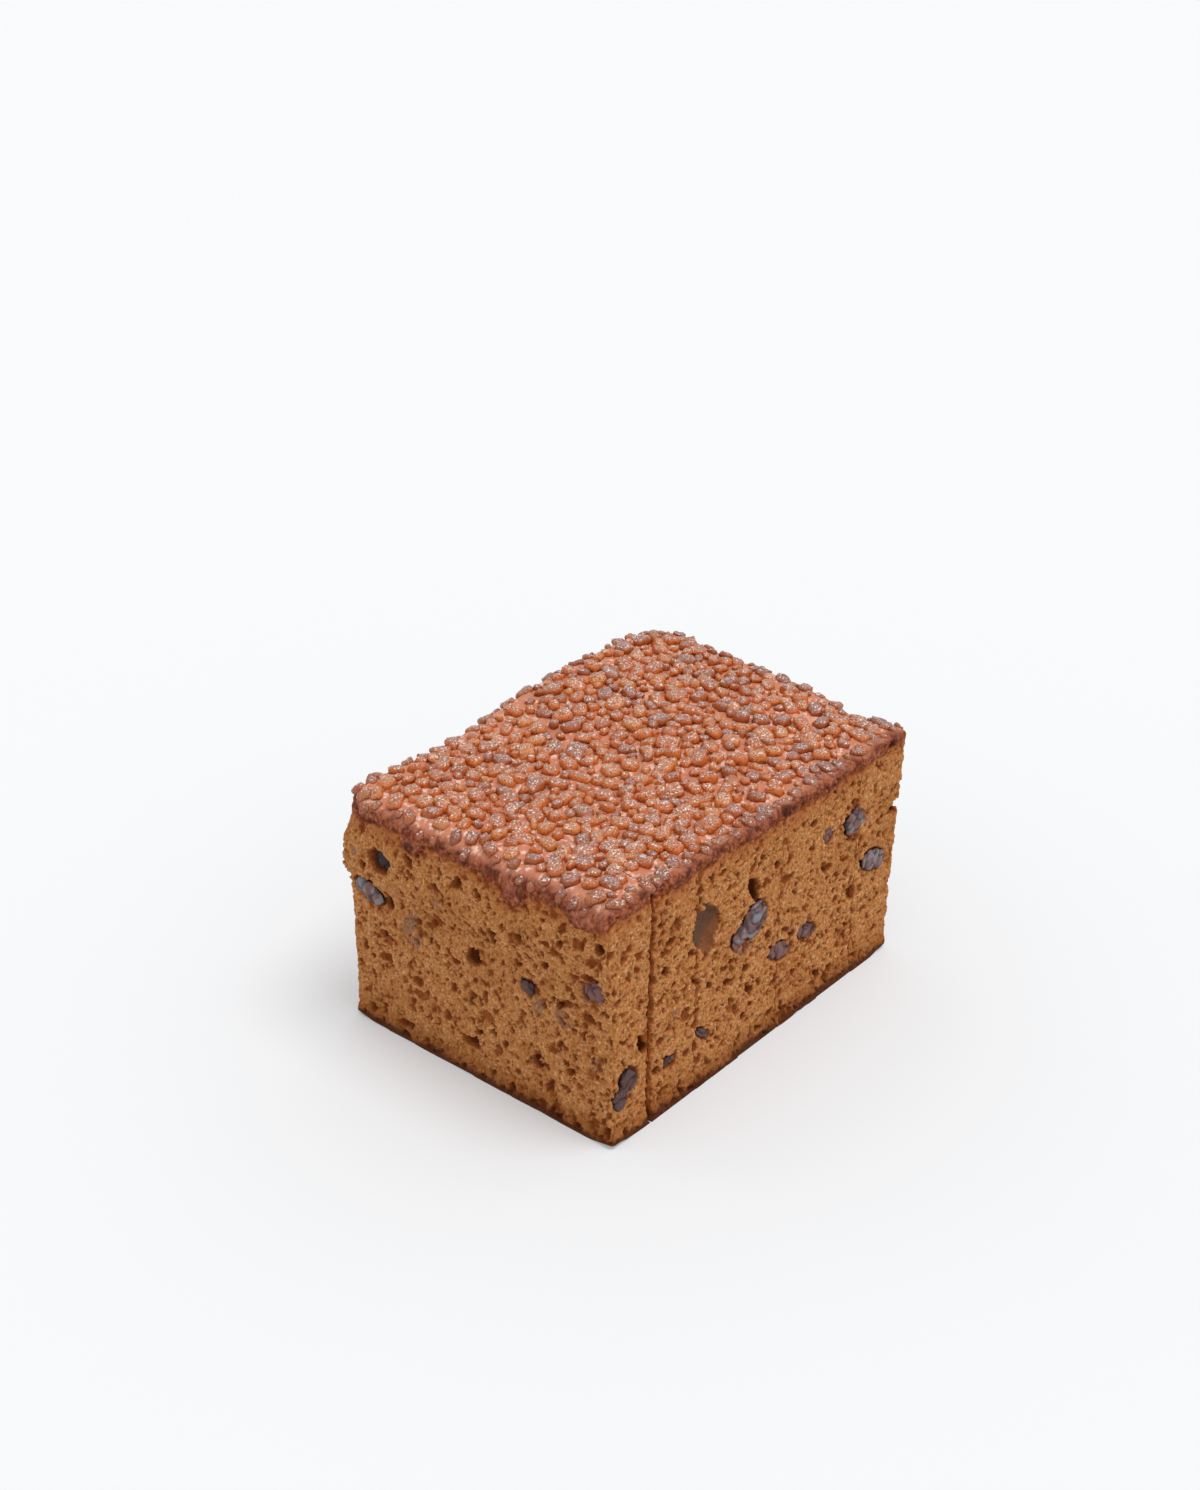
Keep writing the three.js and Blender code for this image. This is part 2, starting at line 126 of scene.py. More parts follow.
END_HOLES = [
    (36.6, 28.9, 4.2, 4.6, 20, 2.4), (37.9, 7.7, 5, 2.8, 0, 1.8), (4.6, 37.6, 4.6, 2.2, 0, 1.6),
    (60.6, 32.2, 2.8, 3, 0, 2.2), (61.5, 42.1, 6.4, 5.6, -10, 2.2), (39, 45.2, 3, 2, -30, 1.5),
    (23.3, 39.4, 2.3, 2.2, 0, 1.8), (16.8, 35.3, 2, 2.4, 0, 1.9), (6, 27.4, 3.5, 2.5, 0, 1.4),
    (16.3, 6.9, 2, 4, 15, 1.6), (11, 12.9, 2.2, 1.6, 25, 1.5), (44.8, 11.5, 2, 3, 0, 1.4),
    (53.3, 16.2, 3, 2.5, 0, 1.3), (32.8, 15.9, 3.5, 3, 0, 0.9), (46.5, 33.7, 2.5, 3, 0, 1.2),
    (62.5, 17.9, 4, 2, -10, 1.3), (15.8, 41.1, 2.5, 1.3, 0, 1.2), (33, 36.4, 2, 2, 0, 1.3),
    (57.5, 3.6, 6, 1.6, -8, 1.6), (64, 3.9, 1.6, 1.6, 0, 1.5), (12.5, 18.2, 3, 1.3, 10, 1.2),
    (52.3, 12.9, 3.5, 2.5, 0, 0.9), (9, 36.4, 2, 1.6, 0, 1.5),
]
BACK_HOLES = [(33, 30, 4.2, 2.8, 30, 2), (70.5, 16, 3, 4, 10, 1.8), (8.6, 20, 3, 2.2, 0, 1.6)]
FAR_HOLES = [
    (0, 36.4, 4, 2.8, 0, 2.6), (0, 45, 2.4, 2, 0, 1), (0, 25, 2, 1.6, 0, 0.9),
    (0, 15.5, 2, 1.6, 0, 0.9), (26, 30, 4, 2.6, -20, 1.8), (49, 42, 3, 2.2, 15, 1.5),
]
# A smooth-walled hollow where a fruit has dropped out, in two parts: across, up, width, height, turn.
FRONT_IMPRINT = [(28.7, 37.2, 8.8, 9.4, 0), (29.2, 34.2, 5, 8, 8)]
IMPRINT_DEPTH = 1.7
# Where the crust reaches further down a side: across, up, width, height, turn.
END_DRIPS = [(24, 47, 8, 8, -20), (52, 49, 7, 4, 0), (7, 49, 8, 4, 0)]
# Faint dark streaks of fruit just under the crumb: across, up, width, height, turn.
FRONT_STAINS = [
    (53, 19.4, 6, 4, 0), (57.5, 18.2, 5, 4.4, 0), (65, 19.2, 8, 4, -16), (72, 39.7, 4.4, 4.4, 0),
    (28.6, 11.9, 7, 2.6, -38), (18, 11, 5, 3, 10), (19, 22, 2.6, 1.8, 0), (43, 25.4, 7, 2.6, 10),
    (88, 26, 6, 4, -10), (85.5, 38.6, 4, 4, 0), (58, 22.5, 3, 2, 0), (42, 26.5, 8, 3, 0),
]
END_STAINS = [
    (19, 25, 3, 5, 20), (13, 24.4, 3.4, 5, -10), (54.5, 29.6, 4, 9, 35), (45, 38.3, 3, 3, 0),
    (68.5, 42.5, 3, 2.4, 0), (4, 18.2, 2.6, 3.6, 0), (52.6, 26, 3, 6, 35), (5, 33.8, 7.4, 6, 0),
]

# Raisins that show in the photo. Bloom and sheen: 0 is bare skin, nearly black, 0.5 mauve brown,
# 1 slate grey, partly real bloom and partly painted sheen. Sunk: how far it lies deeper than its solid,
# so that crumb partly covers it.
RAISINS = {
    "corner": (0.25, 0), "large": (1, 0), "high": (0.85, 0), "right": (0.95, 0), "purple": (0.6, 0.6),
    "purple_small": (0.5, 0.4), "high_small": (0.6, 0.75), "low_left": (0.35, 0.6),
    "low_second": (0.3, 0.45), "end_edge": (1, 0), "end_high": (0.1, 0), "end_middle": (0.25, 0),
    "end_corner": (0.5, 0.7),
}
OTHER_RAISINS = (0.7, 0)

# ---- camera, in millimetres and degrees, for a picture of 1200 by 1490 ----
AZIMUTH = -49.5625
ELEVATION = 25.8563
CAMERA_DISTANCE = 351.3
CAMERA_SLIDE = (-2.43, 78.09)  # to the right and up
CAMERA_TARGET = (-50.5, -36.8, 0.9)
FOCAL_PIXELS = 1800
PICTURE_HEIGHT = 1490
SENSOR = 36
CLIP = (0.01, 100)  # in metres


def ease(value, start, end):
    t = np.clip((value - start) / (end - start), 0, 1)
    return t * t * (3 - 2 * t)


def mix(low, high, share):
    return low + (high - low) * share


def turned(dx, dy, turn):
    """An offset along and across a direction that is turned by this many degrees."""
    sine = math.sin(math.radians(turn))
    cosine = math.cos(math.radians(turn))
    return dx * cosine + dy * sine, dy * cosine - dx * sine


def put_object(name, data):
    made = bpy.data.objects.new(name, data)
    bpy.context.scene.collection.objects.link(made)
    return made


def mark(mesh, name, values, kind="FLOAT"):
    """Gives each point of a mesh a value, or a vector, that nodes can read."""
    attribute = mesh.attributes.new(name, kind, "POINT")
    key = "vector" if kind == "FLOAT_VECTOR" else "value"
    attribute.data.foreach_set(key, np.array(values, np.float32).ravel())


# ======== the block's form

def crust_height(x, y):
    """The crust's height before its edges are rounded."""
    u = x / LENGTH
    v = np.clip(y / DEPTH, 0, None)
    rise = mix(BACK_RISE["left"], BACK_RISE["right"], ease(u, 0.25, 0.72))
    dip = END_DIP["depth"] * np.exp(-(((v - END_DIP["place"]) / END_DIP["width"]) ** 2))
    hump = END_HUMP["height"] * np.exp(-(((v - END_HUMP["place"]) / END_HUMP["width"]) ** 2))
    waves = sum(high * np.sin(a * u + b * v + c) for high, a, b, c in CRUST_WAVES)
    end = RIGHT_RISE * (1 - v) * ease(u, 0.6, 1) + (hump - dip) * ease(u, 0.85, 1)
    return FRONT_HEIGHT + rise * v ** 0.9 + end + waves * ease(v, 0, 0.2)


def to_sides(x, y):
    """How far inside the nearer end and the nearer long side a place lies."""
    return np.stack([np.minimum(x, LENGTH - x), np.minimum(y, DEPTH - y)])


def edge_radii(x, y):
    return np.stack([
        np.where(x < LENGTH / 2, CRUST_ROUND["left"], CRUST_ROUND["right"]),
        np.where(y < DEPTH / 2, CRUST_ROUND["front"], CRUST_ROUND["back"]),
    ])


def edge_drop(x, y):
    """How far the rounded crust edge lies below crust_height."""
    radii = edge_radii(x, y)
    near = np.clip(1 - to_sides(x, y) / radii, 0, 1)
    rubbed = np.clip(1 - np.hypot(x, DEPTH - y) / CORNER_WEAR["reach"], 0, 1)
    return np.hypot(*radii * (1 - np.sqrt(1 - near ** 2))) + CORNER_WEAR["depth"] * rubbed ** 2


def way_out(x, y, share):
    """The level way out of the sides, and how far the crust's rounded edge leans that way."""
    reach = np.where(share >= 1, edge_radii(x, y), TINY)
    ways = np.where([x < LENGTH / 2, y < DEPTH / 2], -1, 1)
    return np.clip(1 - to_sides(x, y) / reach, 0, 1) * ways


def side_shift(share):
    """How far the left, right, front and back sides stand off the plain block."""
    lean = {
        side: sum(far * ease(share, *reach) for far, *reach in steps)
        for side, steps in SIDE_STEPS.items()
    }
    lip = FRONT_LIP * (1 - ease(share, 0.01, 0.06))
    back = BACK_STAND - BACK_HOLLOW * np.sin(math.pi * share) + lean["back"]
    return lean["left"] - lip, lean["right"] + RIGHT_LEAN * share, -lip, back


def foot_lift(x, y):
    return FOOT_LIFT * (1 - ease(np.hypot(*to_sides(x, y)), 0, FOOT_CORNER))


def round_corners(x, y, share):
    """Pulls points of the square outline onto its rounded corners; gives the way out too."""
    px = x.copy()
    py = y.copy()
    out_x, out_y = way_out(x, y, share)
    lean = np.minimum(np.hypot(out_x, out_y), 1)
    for side_x, side_y, foot, top in CORNERS:
        radius = mix(foot, top, ease(share, *CORNER_SPREAD))
        a = radius - np.abs(x - side_x * LENGTH)
        b = radius - np.abs(y - side_y * DEPTH)
        near = (a > 0) & (b > 0)
        length = np.where(near, np.hypot(a, b), 1)
        pull = np.maximum(a, b) / length
        sign_x = 1 if side_x else -1
        sign_y = 1 if side_y else -1
        px = np.where(near, side_x * LENGTH - sign_x * (radius - a * pull), px)
        py = np.where(near, side_y * DEPTH - sign_y * (radius - b * pull), py)
        out_x = np.where(near, lean * sign_x * a / length, out_x)
        out_y = np.where(near, lean * sign_y * b / length, out_y)
    return px, py, out_x, out_y


def block_point(x, y, share, rise=0):
    """Points of the block's smooth surface, and the level way out of its sides there."""
    px, py, out_x, out_y = round_corners(x, y, share)
    flat = 1 - np.minimum(np.hypot(out_x, out_y), 1)
    top = crust_height(x, y) - edge_drop(x, y) + rise * flat
    z = mix(foot_lift(x, y), top, share)
    left, right, front, back = side_shift(share)
    px = px + mix(left, right, x / LENGTH)
    py = py + mix(front, back, y / DEPTH)
    return np.stack([px, py, z], -1), np.stack([out_x, out_y], -1)


def one_point(x, y):
    point, _ = block_point(np.array([float(x)]), np.array([float(y)]), np.array([1.0]))
    return Vector(point[0])


# ======== relief of the cut sides

def lift(field, box, least):
    """Brings a part of a field up to at least this."""
    field[box] = np.maximum(field[box], least)


class Relief:
    """Height fields over one side of the block: u along it, w up it, in millimetres."""

    def __init__(self, length, height, seed):
        self.u = np.arange(-RELIEF_EDGE, length + RELIEF_EDGE, RELIEF_STEP)
        self.w = np.arange(-RELIEF_EDGE, height + RELIEF_EDGE, RELIEF_STEP)
        self.random = np.random.default_rng(seed)
        self.area = length * height
        self.depth = np.zeros((len(self.w), len(self.u)))
        self.imprint = np.zeros_like(self.depth)
        self.smooth = np.zeros_like(self.depth)
        self.stain = np.zeros_like(self.depth)
        self.warp_u = self.noise((0.45, 1.4), (0.2, 0.5))
        self.warp_w = self.noise((0.45, 1.4), (0.2, 0.5))
        self.edge = self.noise((0.7, 6), (0.45, 1.7))
        self.rough = self.noise((0.3, 2.2), (0.25, 0.9), (0.12, 0.45))

    def noise(self, *layers):
        """Noise in layers, each with its height and the size of its lumps."""
        return sum(high * self.lumps(size) for high, size in layers)

    def lumps(self, size):
        """Smooth noise from -1 to 1, its lumps of this size."""
        steps = [np.arange(n) * RELIEF_STEP / size for n in self.depth.shape]
        knots = self.random.uniform(-1, 1, [int(s[-1]) + 2 for s in steps])
        low = [s.astype(int) for s in steps]
        rows, columns = [ease(s - l, 0, 1) for s, l in zip(steps, low)]
        lines = mix(knots[low[0]], knots[low[0] + 1], rows[:, None])
        return mix(lines[:, low[1]], lines[:, low[1] + 1], columns)

    def dome(self, place, warp):
        """The part of the fields round a place, and a round dome of one millimetre in it."""
        u, w, width, height, turn = place
        reach = max(width, height) / 2 + 0.6
        box = (
            slice(*np.searchsorted(self.w, (w - reach, w + reach))),
            slice(*np.searchsorted(self.u, (u - reach, u + reach))),
        )
        du = self.u[box[1]][None, :] - u + warp * self.warp_u[box]
        dw = self.w[box[0]][:, None] - w + warp * self.warp_w[box]
        along, across = turned(du, dw, turn)
        return box, np.clip(1 - (along / (width / 2)) ** 2 - (across / (height / 2)) ** 2, 0, None)

    def press(self, place, deep, warp=1.0):
        """Presses a rounded pit into the side."""
        box, dome = self.dome(place, warp)
        lift(self.depth, box, deep * dome ** PORE_WALL)

    def pores(self):
        """Bubbles of the crumb that the knife opened, the many small ones first."""
        for density, smallest, largest, deepness in PORES:
            count = int(density * self.area)
            u = self.random.uniform(self.u[0], self.u[-1], count)
            w = self.random.uniform(self.w[0], self.w[-1], count)
            half = mix(smallest, largest, self.random.random(count) ** 2)
            slim = self.random.uniform(0.6, 1, count)
            turn = self.random.uniform(0, 180, count)
            deep = half * deepness * self.random.uniform(0.5, 1.3, count)
            for i in range(count):
                self.press((u[i], w[i], 2 * half[i], 2 * half[i] * slim[i], turn[i]), deep[i])
        self.depth += self.noise((0.1, 0.5), (0.15, 1.1), (0.12, 2.6))

    def smooth_hollow(self, places, deep):
        """A smooth-walled hollow takes the place of the pores; painted shade makes it darkest at its
        upper left.
        """
        hollow = np.zeros_like(self.depth)
        for place in places:
            box, dome = self.dome(place, 0.1)
            lift(hollow, box, dome)
        inside = ease(hollow, 0, 0.2)
        self.depth = mix(self.depth, 0.3 * self.depth + deep * hollow ** 0.7, inside)
        self.smooth = inside
        u, w, width, height, _ = places[0]
        lower_right = (self.u[None, :] - u) / width - (self.w[:, None] - w) / height
        # painted shade: the imprint field is strongest at the hollow's upper left
        self.imprint = inside * (1 - 0.75 * ease(lower_right, 0, 0.7))

    def drip(self, place):
        """Brings the brown crust further down."""
        box, dome = self.dome(place, 1)
        self.edge[box] += 3 * ease(dome, 0, 0.6)

    def streak(self, place):
        box, dome = self.dome(place, 1.6)
        lift(self.stain, box, ease(dome, 0, 0.7))

    def sample(self, field, u, w):
        column = np.clip((u - self.u[0]) / RELIEF_STEP, 0, len(self.u) - 1.001)
        row = np.clip((w - self.w[0]) / RELIEF_STEP, 0, len(self.w) - 1.001)
        c = column.astype(int)
        r = row.astype(int)
        low = mix(field[r, c], field[r, c + 1], column - c)
        high = mix(field[r + 1, c], field[r + 1, c + 1], column - c)
        return mix(low, high, row - r)


def cut_place(number, z):
    """Where a cut lies along the block at this height."""
    foot, top = CUTS[number]
    return foot + (top - foot) * z / FRONT_HEIGHT


def wear_seams(relief):
    """The crumb beside each cut has crumbled back a little, most at its foot and its top."""
    along = relief.lumps(1.8)
    wander = relief.lumps(2.6)
    opened = 1 + 1.4 * (1 - ease(relief.w, 0, 4)) + 1.2 * ease(relief.w, 50, 53.5)
    for number, wear in enumerate(SEAM_WEAR):
        seam = cut_place(number, relief.w)
        away = (relief.u[None, :] - seam[:, None] + 0.3 * wander) / SEAM_WIDTH
        relief.depth += wear * (0.8 + 0.7 * along) * opened[:, None] * np.exp(-(away ** 2))
        for _ in range(int(SEAM_PITS * wear)):
            w = relief.random.uniform(0, FRONT_HEIGHT)
            u = cut_place(number, w) + relief.random.uniform(-0.6, 0.6)
            half = relief.random.uniform(0.3, 0.8)
            relief.press((u, w, 2 * half, 3 * half, 0), 1.6 * half)


def face_plane(side, u, w):
    """Where the smooth side lies, along its way in, at u and w."""
    share = np.clip(w / FRONT_HEIGHT, 0, 1)
    left, right, front, back = side_shift(share)
    planes = {"front": front, "back": DEPTH + back, "end": left, "far": LENGTH + right}
    return planes[side] + 0 * u


SIDES = {
    "front": {"axis": 1, "inward": 1, "along": 0},
    "back": {"axis": 1, "inward": -1, "along": 0},
    "end": {"axis": 0, "inward": 1, "along": 1},
    "far": {"axis": 0, "inward": -1, "along": 1},
}
POCKET_EDGE = (0.8, 0.5)  # the crumb closes over a raisin where it lies this deep
POCKET_RAGGED = 1.4
POCKET_ROOM = 0.9
POCKET_MARGIN = 1
# painted shade round a raisin, laid on the field of fruit stains
POCKET_SHADE = 0.8
RAY_START = 3  # rays start this far outside the side
CREVICE = 3  # cells of the height field
CREVICE_DEPTH = 1.1


def cuts_beside(index):
    """The cuts on the left, -1, and the right, 1, of a slice."""
    return [(cut, way) for cut, way in ((index - 1, -1), (index, 1)) if 0 <= cut < len(CUTS)]


def slice_of(x):
    return sum(x > foot for foot, _ in CUTS)


def side_gaps(low, high):
    """How far a box from low to high lies inside each side of the plain block."""
    return {"front": low[1], "back": DEPTH - high[1], "end": low[0], "far": LENGTH - high[0]}


def open_pocket(relief, raisin):
    """Lays a raisin's face bare: crumb that would lie over it is pushed back behind it, and a
    narrow crevice runs round it. Painted shade is laid over the pocket and its crevice."""
    facing = SIDES[raisin["side"]]
    tree = BVHTree.FromPolygons(raisin["vertices"].tolist(), raisin["faces"])
    low = raisin["vertices"].min(0) - POCKET_MARGIN
    high = raisin["vertices"].max(0) + POCKET_MARGIN
    along = facing["along"]
    columns = np.nonzero((relief.u > low[along]) & (relief.u < high[along]))[0]
    rows = np.nonzero((relief.w > low[2]) & (relief.w < high[2]))[0]
    ray = Vector((0, 0, 0))
    ray[facing["axis"]] = facing["inward"]
    lies = np.zeros((len(rows), len(columns)))
    bare = np.zeros_like(lies)
    for i, r in enumerate(rows):
        plane = face_plane(raisin["side"], relief.u[columns], relief.w[r])
        for j, (c, level) in enumerate(zip(columns, plane)):
            start = Vector((0, 0, relief.w[r]))
            start[along] = relief.u[c]
            start[facing["axis"]] = level - RAY_START * facing["inward"]
            hit = tree.ray_cast(start, ray)
            if hit[0] is not None:
                lies[i, j] = hit[3] - RAY_START
                bare[i, j] = ease(lies[i, j] + POCKET_RAGGED * relief.warp_u[r, c], *POCKET_EDGE)
    box = np.ix_(rows, columns)
    crevice = np.zeros_like(lies)
    for steps in range(1, CREVICE + 1):
        for axis in (0, 1):
            for way in (-steps, steps):
                crevice = np.maximum(crevice, np.roll(bare, way, axis))
    crevice *= CREVICE_DEPTH * (0.6 + relief.edge[box]).clip(0.15, 1)
    lift(relief.depth, box, np.maximum(bare * (lies + POCKET_ROOM), crevice))
    # painted shade in the pocket and in the crevice round the raisin
    lift(relief.stain, box, POCKET_SHADE * np.maximum(bare, crevice > 0.1))


def make_reliefs():
    height = FRONT_HEIGHT + BACK_RISE["right"] + RIGHT_RISE + END_HUMP["height"]
    plan = {
        "front": (LENGTH, 11, FRONT_HOLES, FRONT_STAINS, []),
        "back": (LENGTH, 12, BACK_HOLES, [], []),
        "end": (DEPTH, 13, END_HOLES, END_STAINS, END_DRIPS),
        "far": (DEPTH, 14, FAR_HOLES, [], []),
    }  # length, seed, holes, stains and drips of each side
    reliefs = {}
    for side, (length, seed, holes, stains, drips) in plan.items():
        relief = Relief(length, height, seed)
        relief.pores()
        for *place, deep in holes:
            relief.press(place, deep)
        for place in drips:
            relief.drip(place)
        for place in stains:
            relief.streak(place)
        if SIDES[side]["along"] == 0:
            wear_seams(relief)
        reliefs[side] = relief
    reliefs["front"].smooth_hollow(FRONT_IMPRINT, IMPRINT_DEPTH)
    return reliefs


CUT_REACH = 0.2  # a raisin's vertices this close to a cut lie on it
CUT_OVERLAP = 0.15


def loose_raisins():
    """Raisins by name, each with its nodes by slice and its shape in the block's frame. The
    pieces of a cut raisin are grown until they meet again in the cut."""
    found = {}
    for node, made in sorted(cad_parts.items()):
        if not node.startswith("raisin"):
            continue
        work = bmesh.new()
        work.from_mesh(made.data)
        bmesh.ops.remove_doubles(work, verts=work.verts, dist=1e-7)
        vertices = np.array([v.co for v in work.verts]) / MM + MIDDLE
        index = slice_of(vertices[:, 0].mean())
        vertices[:, 1] -= SLICE_SHIFTS[index]
        for cut, way in cuts_beside(index):
            plane = cut_place(cut, vertices[:, 2])
            on_cut = np.abs(plane - vertices[:, 0]) < CUT_REACH
            vertices[on_cut, 0] = plane[on_cut] + CUT_OVERLAP * way
        name = node.removeprefix("raisin_").split("_in_slice")[0]
        raisin = found.setdefault(name, {"nodes": {}, "vertices": np.zeros((0, 3)), "faces": []})
        raisin["nodes"][index] = node
        start = len(raisin["vertices"])
        raisin["faces"] += [[v.index + start for v in f.verts] for f in work.faces]
        raisin["vertices"] = np.concatenate([raisin["vertices"], vertices])
        work.free()
    for name, raisin in found.items():
        gaps = side_gaps(raisin["vertices"].min(0), raisin["vertices"].max(0))
        facing = SIDES[min(gaps, key=gaps.get)]
        raisin["side"] = min(gaps, key=gaps.get)
        raisin["bloom"], sunk = RAISINS.get(name, OTHER_RAISINS)
        raisin["vertices"][:, facing["axis"]] += sunk * facing["inward"]
    return found


# ======== slices

SURFACE_STEP = {"end": 0.285, "inner": 0.185}  # between grid lines
FOOT_RAISE = 0.7  # the bottom crust's edge is uneven by this much
PROUD = 0.15  # crumbs stand out of a side by no more than this
CRUST_HOLD = {"pores": 0.4, "skin": 0.2}  # pores are shallower by, and the crust stands out by
DEEPEST = 4


def grid_lines(length, near_round, far_round, step):
    """Lines on a quarter circle's spacing in each rounded rim, and even between the rims."""
    def rim(radius):
        count = math.ceil(radius * math.pi / 2 / step)
        return radius * (1 - np.cos(np.linspace(0, math.pi / 2, count + 1))) if count else np.zeros(1)
    near = rim(near_round)
    far = length - rim(far_round)[::-1]
    middle = np.linspace(near[-1], far[0], math.ceil((far[0] - near[-1]) / step) + 1)
    return np.concatenate([near[:-1], middle, far[1:]])


def grid_quads(numbers, turned_over):
    quads = np.stack([numbers[:-1, :-1], numbers[1:, :-1], numbers[1:, 1:], numbers[:-1, 1:]], -1)
    quads = quads.reshape(-1, 4)
    return quads[:, ::-1] if turned_over else quads


def nominal_x(x, share):
    """The unshifted x whose surface point lies at this real x."""
    left, right, _, _ = side_shift(share)
    return (x - left) / (1 + (right - left) / LENGTH)


def crust_band(x, y):
    """How far the brown crust reaches down the nearest side."""
    weights = {side: (gap + 0.3) ** -2 for side, gap in side_gaps((x, y), (x, y)).items()}
    total = sum(weights.values())
    return sum(CRUST_BAND[side] * weight for side, weight in weights.items()) / total


def dressed_points(x, y, share, reliefs, top):
    """Surface points with their relief, and what the crumb's material reads at each."""
    point, out = block_point(x, y, share, top.sample(top.depth, x, y))
    weights = {
        side: np.clip(-facing["inward"] * out[:, facing["axis"]], 0, None) ** 2
        for side, facing in SIDES.items()
    }
    total = sum(weights.values())
    on_side = total > 0
    fields = {name: 0 for name in ("depth", "imprint", "smooth", "stain", "edge", "rough")}
    for side, weight in weights.items():
        along = point[:, SIDES[side]["along"]]
        for name in fields:
            value = reliefs[side].sample(getattr(reliefs[side], name), along, point[:, 2])
            fields[name] = fields[name] + value * weight / np.maximum(total, TINY)
    line = crust_height(x, y) - crust_band(x, y)
    above = point[:, 2] - line + fields["edge"] + np.clip(to_sides(x, y).min(0), 0, 6)
    crusted = ease(above, -1.6, 0.6)
    pores_stay = (1 - CRUST_HOLD["pores"] * crusted) * (1 - ease(above, 1, 3))
    crumb_depth = fields["depth"] * pores_stay
    skin_depth = fields["rough"] * crusted - CRUST_HOLD["skin"] * ease(above, -0.4, 0.5)
    depth = np.maximum(crumb_depth + skin_depth, -PROUD) * ease(share, 0, 0.02) * on_side
    point[:, :2] -= depth[:, None] * out
    ragged_foot = np.clip(0.5 * fields["edge"], 0, FOOT_RAISE) * on_side
    point[:, 2] += ragged_foot * (1 - ease(point[:, 2], 0, 3))
    return point, {
        # hollow: the depth of pores, seams and crevices; the crumb's material paints shade by it
        "hollow": on_side * (1 - 0.85 * fields["smooth"]) * np.clip(crumb_depth, 0, DEEPEST),
        "above_crust_line": above,
        "imprint": fields["imprint"] * on_side,
        "stain": fields["stain"] * on_side,
        "bare": top.sample(top.imprint, x, y) * (1 - on_side),
    }


def slice_mesh(index, reliefs, top):
    """One slice as a closed shell: fine grids where it shows, plain faces in the cuts."""
    first = index == 0
    last = index == len(CUTS)
    step = SURFACE_STEP["end" if first or last else "inner"]
    left = np.zeros(2) if first else np.array(CUTS[index - 1]) + SEAM_GAPS[index - 1] / 2
    right = np.full(2, LENGTH) if last else np.array(CUTS[index]) - SEAM_GAPS[index] / 2
    width = right[0] - left[0]
    near_round = CRUST_ROUND["left"] if first else 0
    far_round = CRUST_ROUND["right"] if last else 0
    across = grid_lines(width, near_round, far_round, step) / width
    along = grid_lines(DEPTH, CRUST_ROUND["front"], CRUST_ROUND["back"], step)
    up = np.linspace(0, 1, math.ceil(FRONT_HEIGHT / step) + 1)

    used = np.zeros((len(across), len(along), len(up)), bool)
    used[:, 0, :] = used[:, -1, :] = used[:, :, -1] = True
    used[0] |= first
    used[-1] |= last
    number = np.full(used.shape, -1)
    number[used] = np.arange(used.sum())
    i, j, k = np.nonzero(used)
    share = up[k]
    low = 0 * share if first else nominal_x(mix(*left, share), share)
    high = LENGTH + 0 * share if last else nominal_x(mix(*right, share), share)
    point, marks = dressed_points(mix(low, high, across[i]), along[j], share, reliefs, top)
    point[:, 1] += SLICE_SHIFTS[index]

    quads = [
        grid_quads(number[:, 0, :], False),
        grid_quads(number[:, -1, :], True),
        grid_quads(number[:, :, -1], False),
    ]
    cuts = []
    foot_ends = []
    for side, shows, turned_over in ((number[0], first, True), (number[-1], last, False)):
        foot_ends.append(side[1:-1, 0] if shows else [])
        if shows:
            quads.append(grid_quads(side, turned_over))
        else:
            ring = [*side[0], *side[1:-1, -1], *side[-1, ::-1]]
            cuts.append(ring[::-1] if turned_over else ring)
    foot = [*number[::-1, 0, 0], *foot_ends[0], *number[:, -1, 0], *foot_ends[1][::-1]]
    quads = np.concatenate(quads).tolist()
    plain = [[int(v) for v in ring] for ring in (foot, *cuts)]
    return point, quads + plain, len(quads), marks


def put_mesh(name, point, faces, smooth_count, marks, material):
    """A piece from points in the block's frame; faces after smooth_count are flat."""
    mesh = bpy.data.meshes.new(name)
    mesh.from_pydata(((point - MIDDLE) * MM).tolist(), [], faces)
    mesh.polygons.foreach_set("use_smooth", np.arange(len(mesh.polygons)) < smooth_count)
    for key, values in marks.items():
        mark(mesh, key, values)
    mesh.materials.append(material)
    mesh.validate()
    mesh.update()
    return put_object(name, mesh)


def put_slice(index, reliefs, top, material):
    name = "slice_" + str(index + 1)
    piece = put_mesh("crumb_" + name, *slice_mesh(index, reliefs, top), material)
    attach(piece, "root")
    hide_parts(name)


# ======== sugar nibs

def seeded_random(seed):
    state = seed
    while True:
        state = (state * 1664525 + 1013904223) % 4294967296
        yield state / 4294967296


def in_patch(x, y, patch):
    place_x, place_y, length, width, turn = patch
    along, across = turned(x - place_x, y - place_y, turn)
    return math.hypot(along / length, across / width) < 0.5


def nib_places():
    """Nibs at seeded places, the large ones first: x, y, length, width, height, turn."""
    draw = seeded_random(NIB_SEED)
    places = []
    for nibs in (LARGE_NIBS, SMALL_NIBS):
        for _ in range(nibs["tries"]):
            x = mix(nibs["left"], LENGTH - nibs["right"], next(draw))
            y = mix(nibs["front"], DEPTH - nibs["back"], next(draw))
            room = nibs["spacing"] ** 2
            crowded = any((p[0] - x) ** 2 + (p[1] - y) ** 2 < room for p in places)
            if crowded or any(in_patch(x, y, patch) for patch in BARE_PATCHES):
                continue
            long = mix(*nibs["length"], next(draw) ** 2)
            wide = long * mix(*NIB_SLIMNESS, next(draw))
            high = mix(*nibs["height"], next(draw))
            places.append((x, y, long, wide, high, next(draw) * math.pi))
    return places


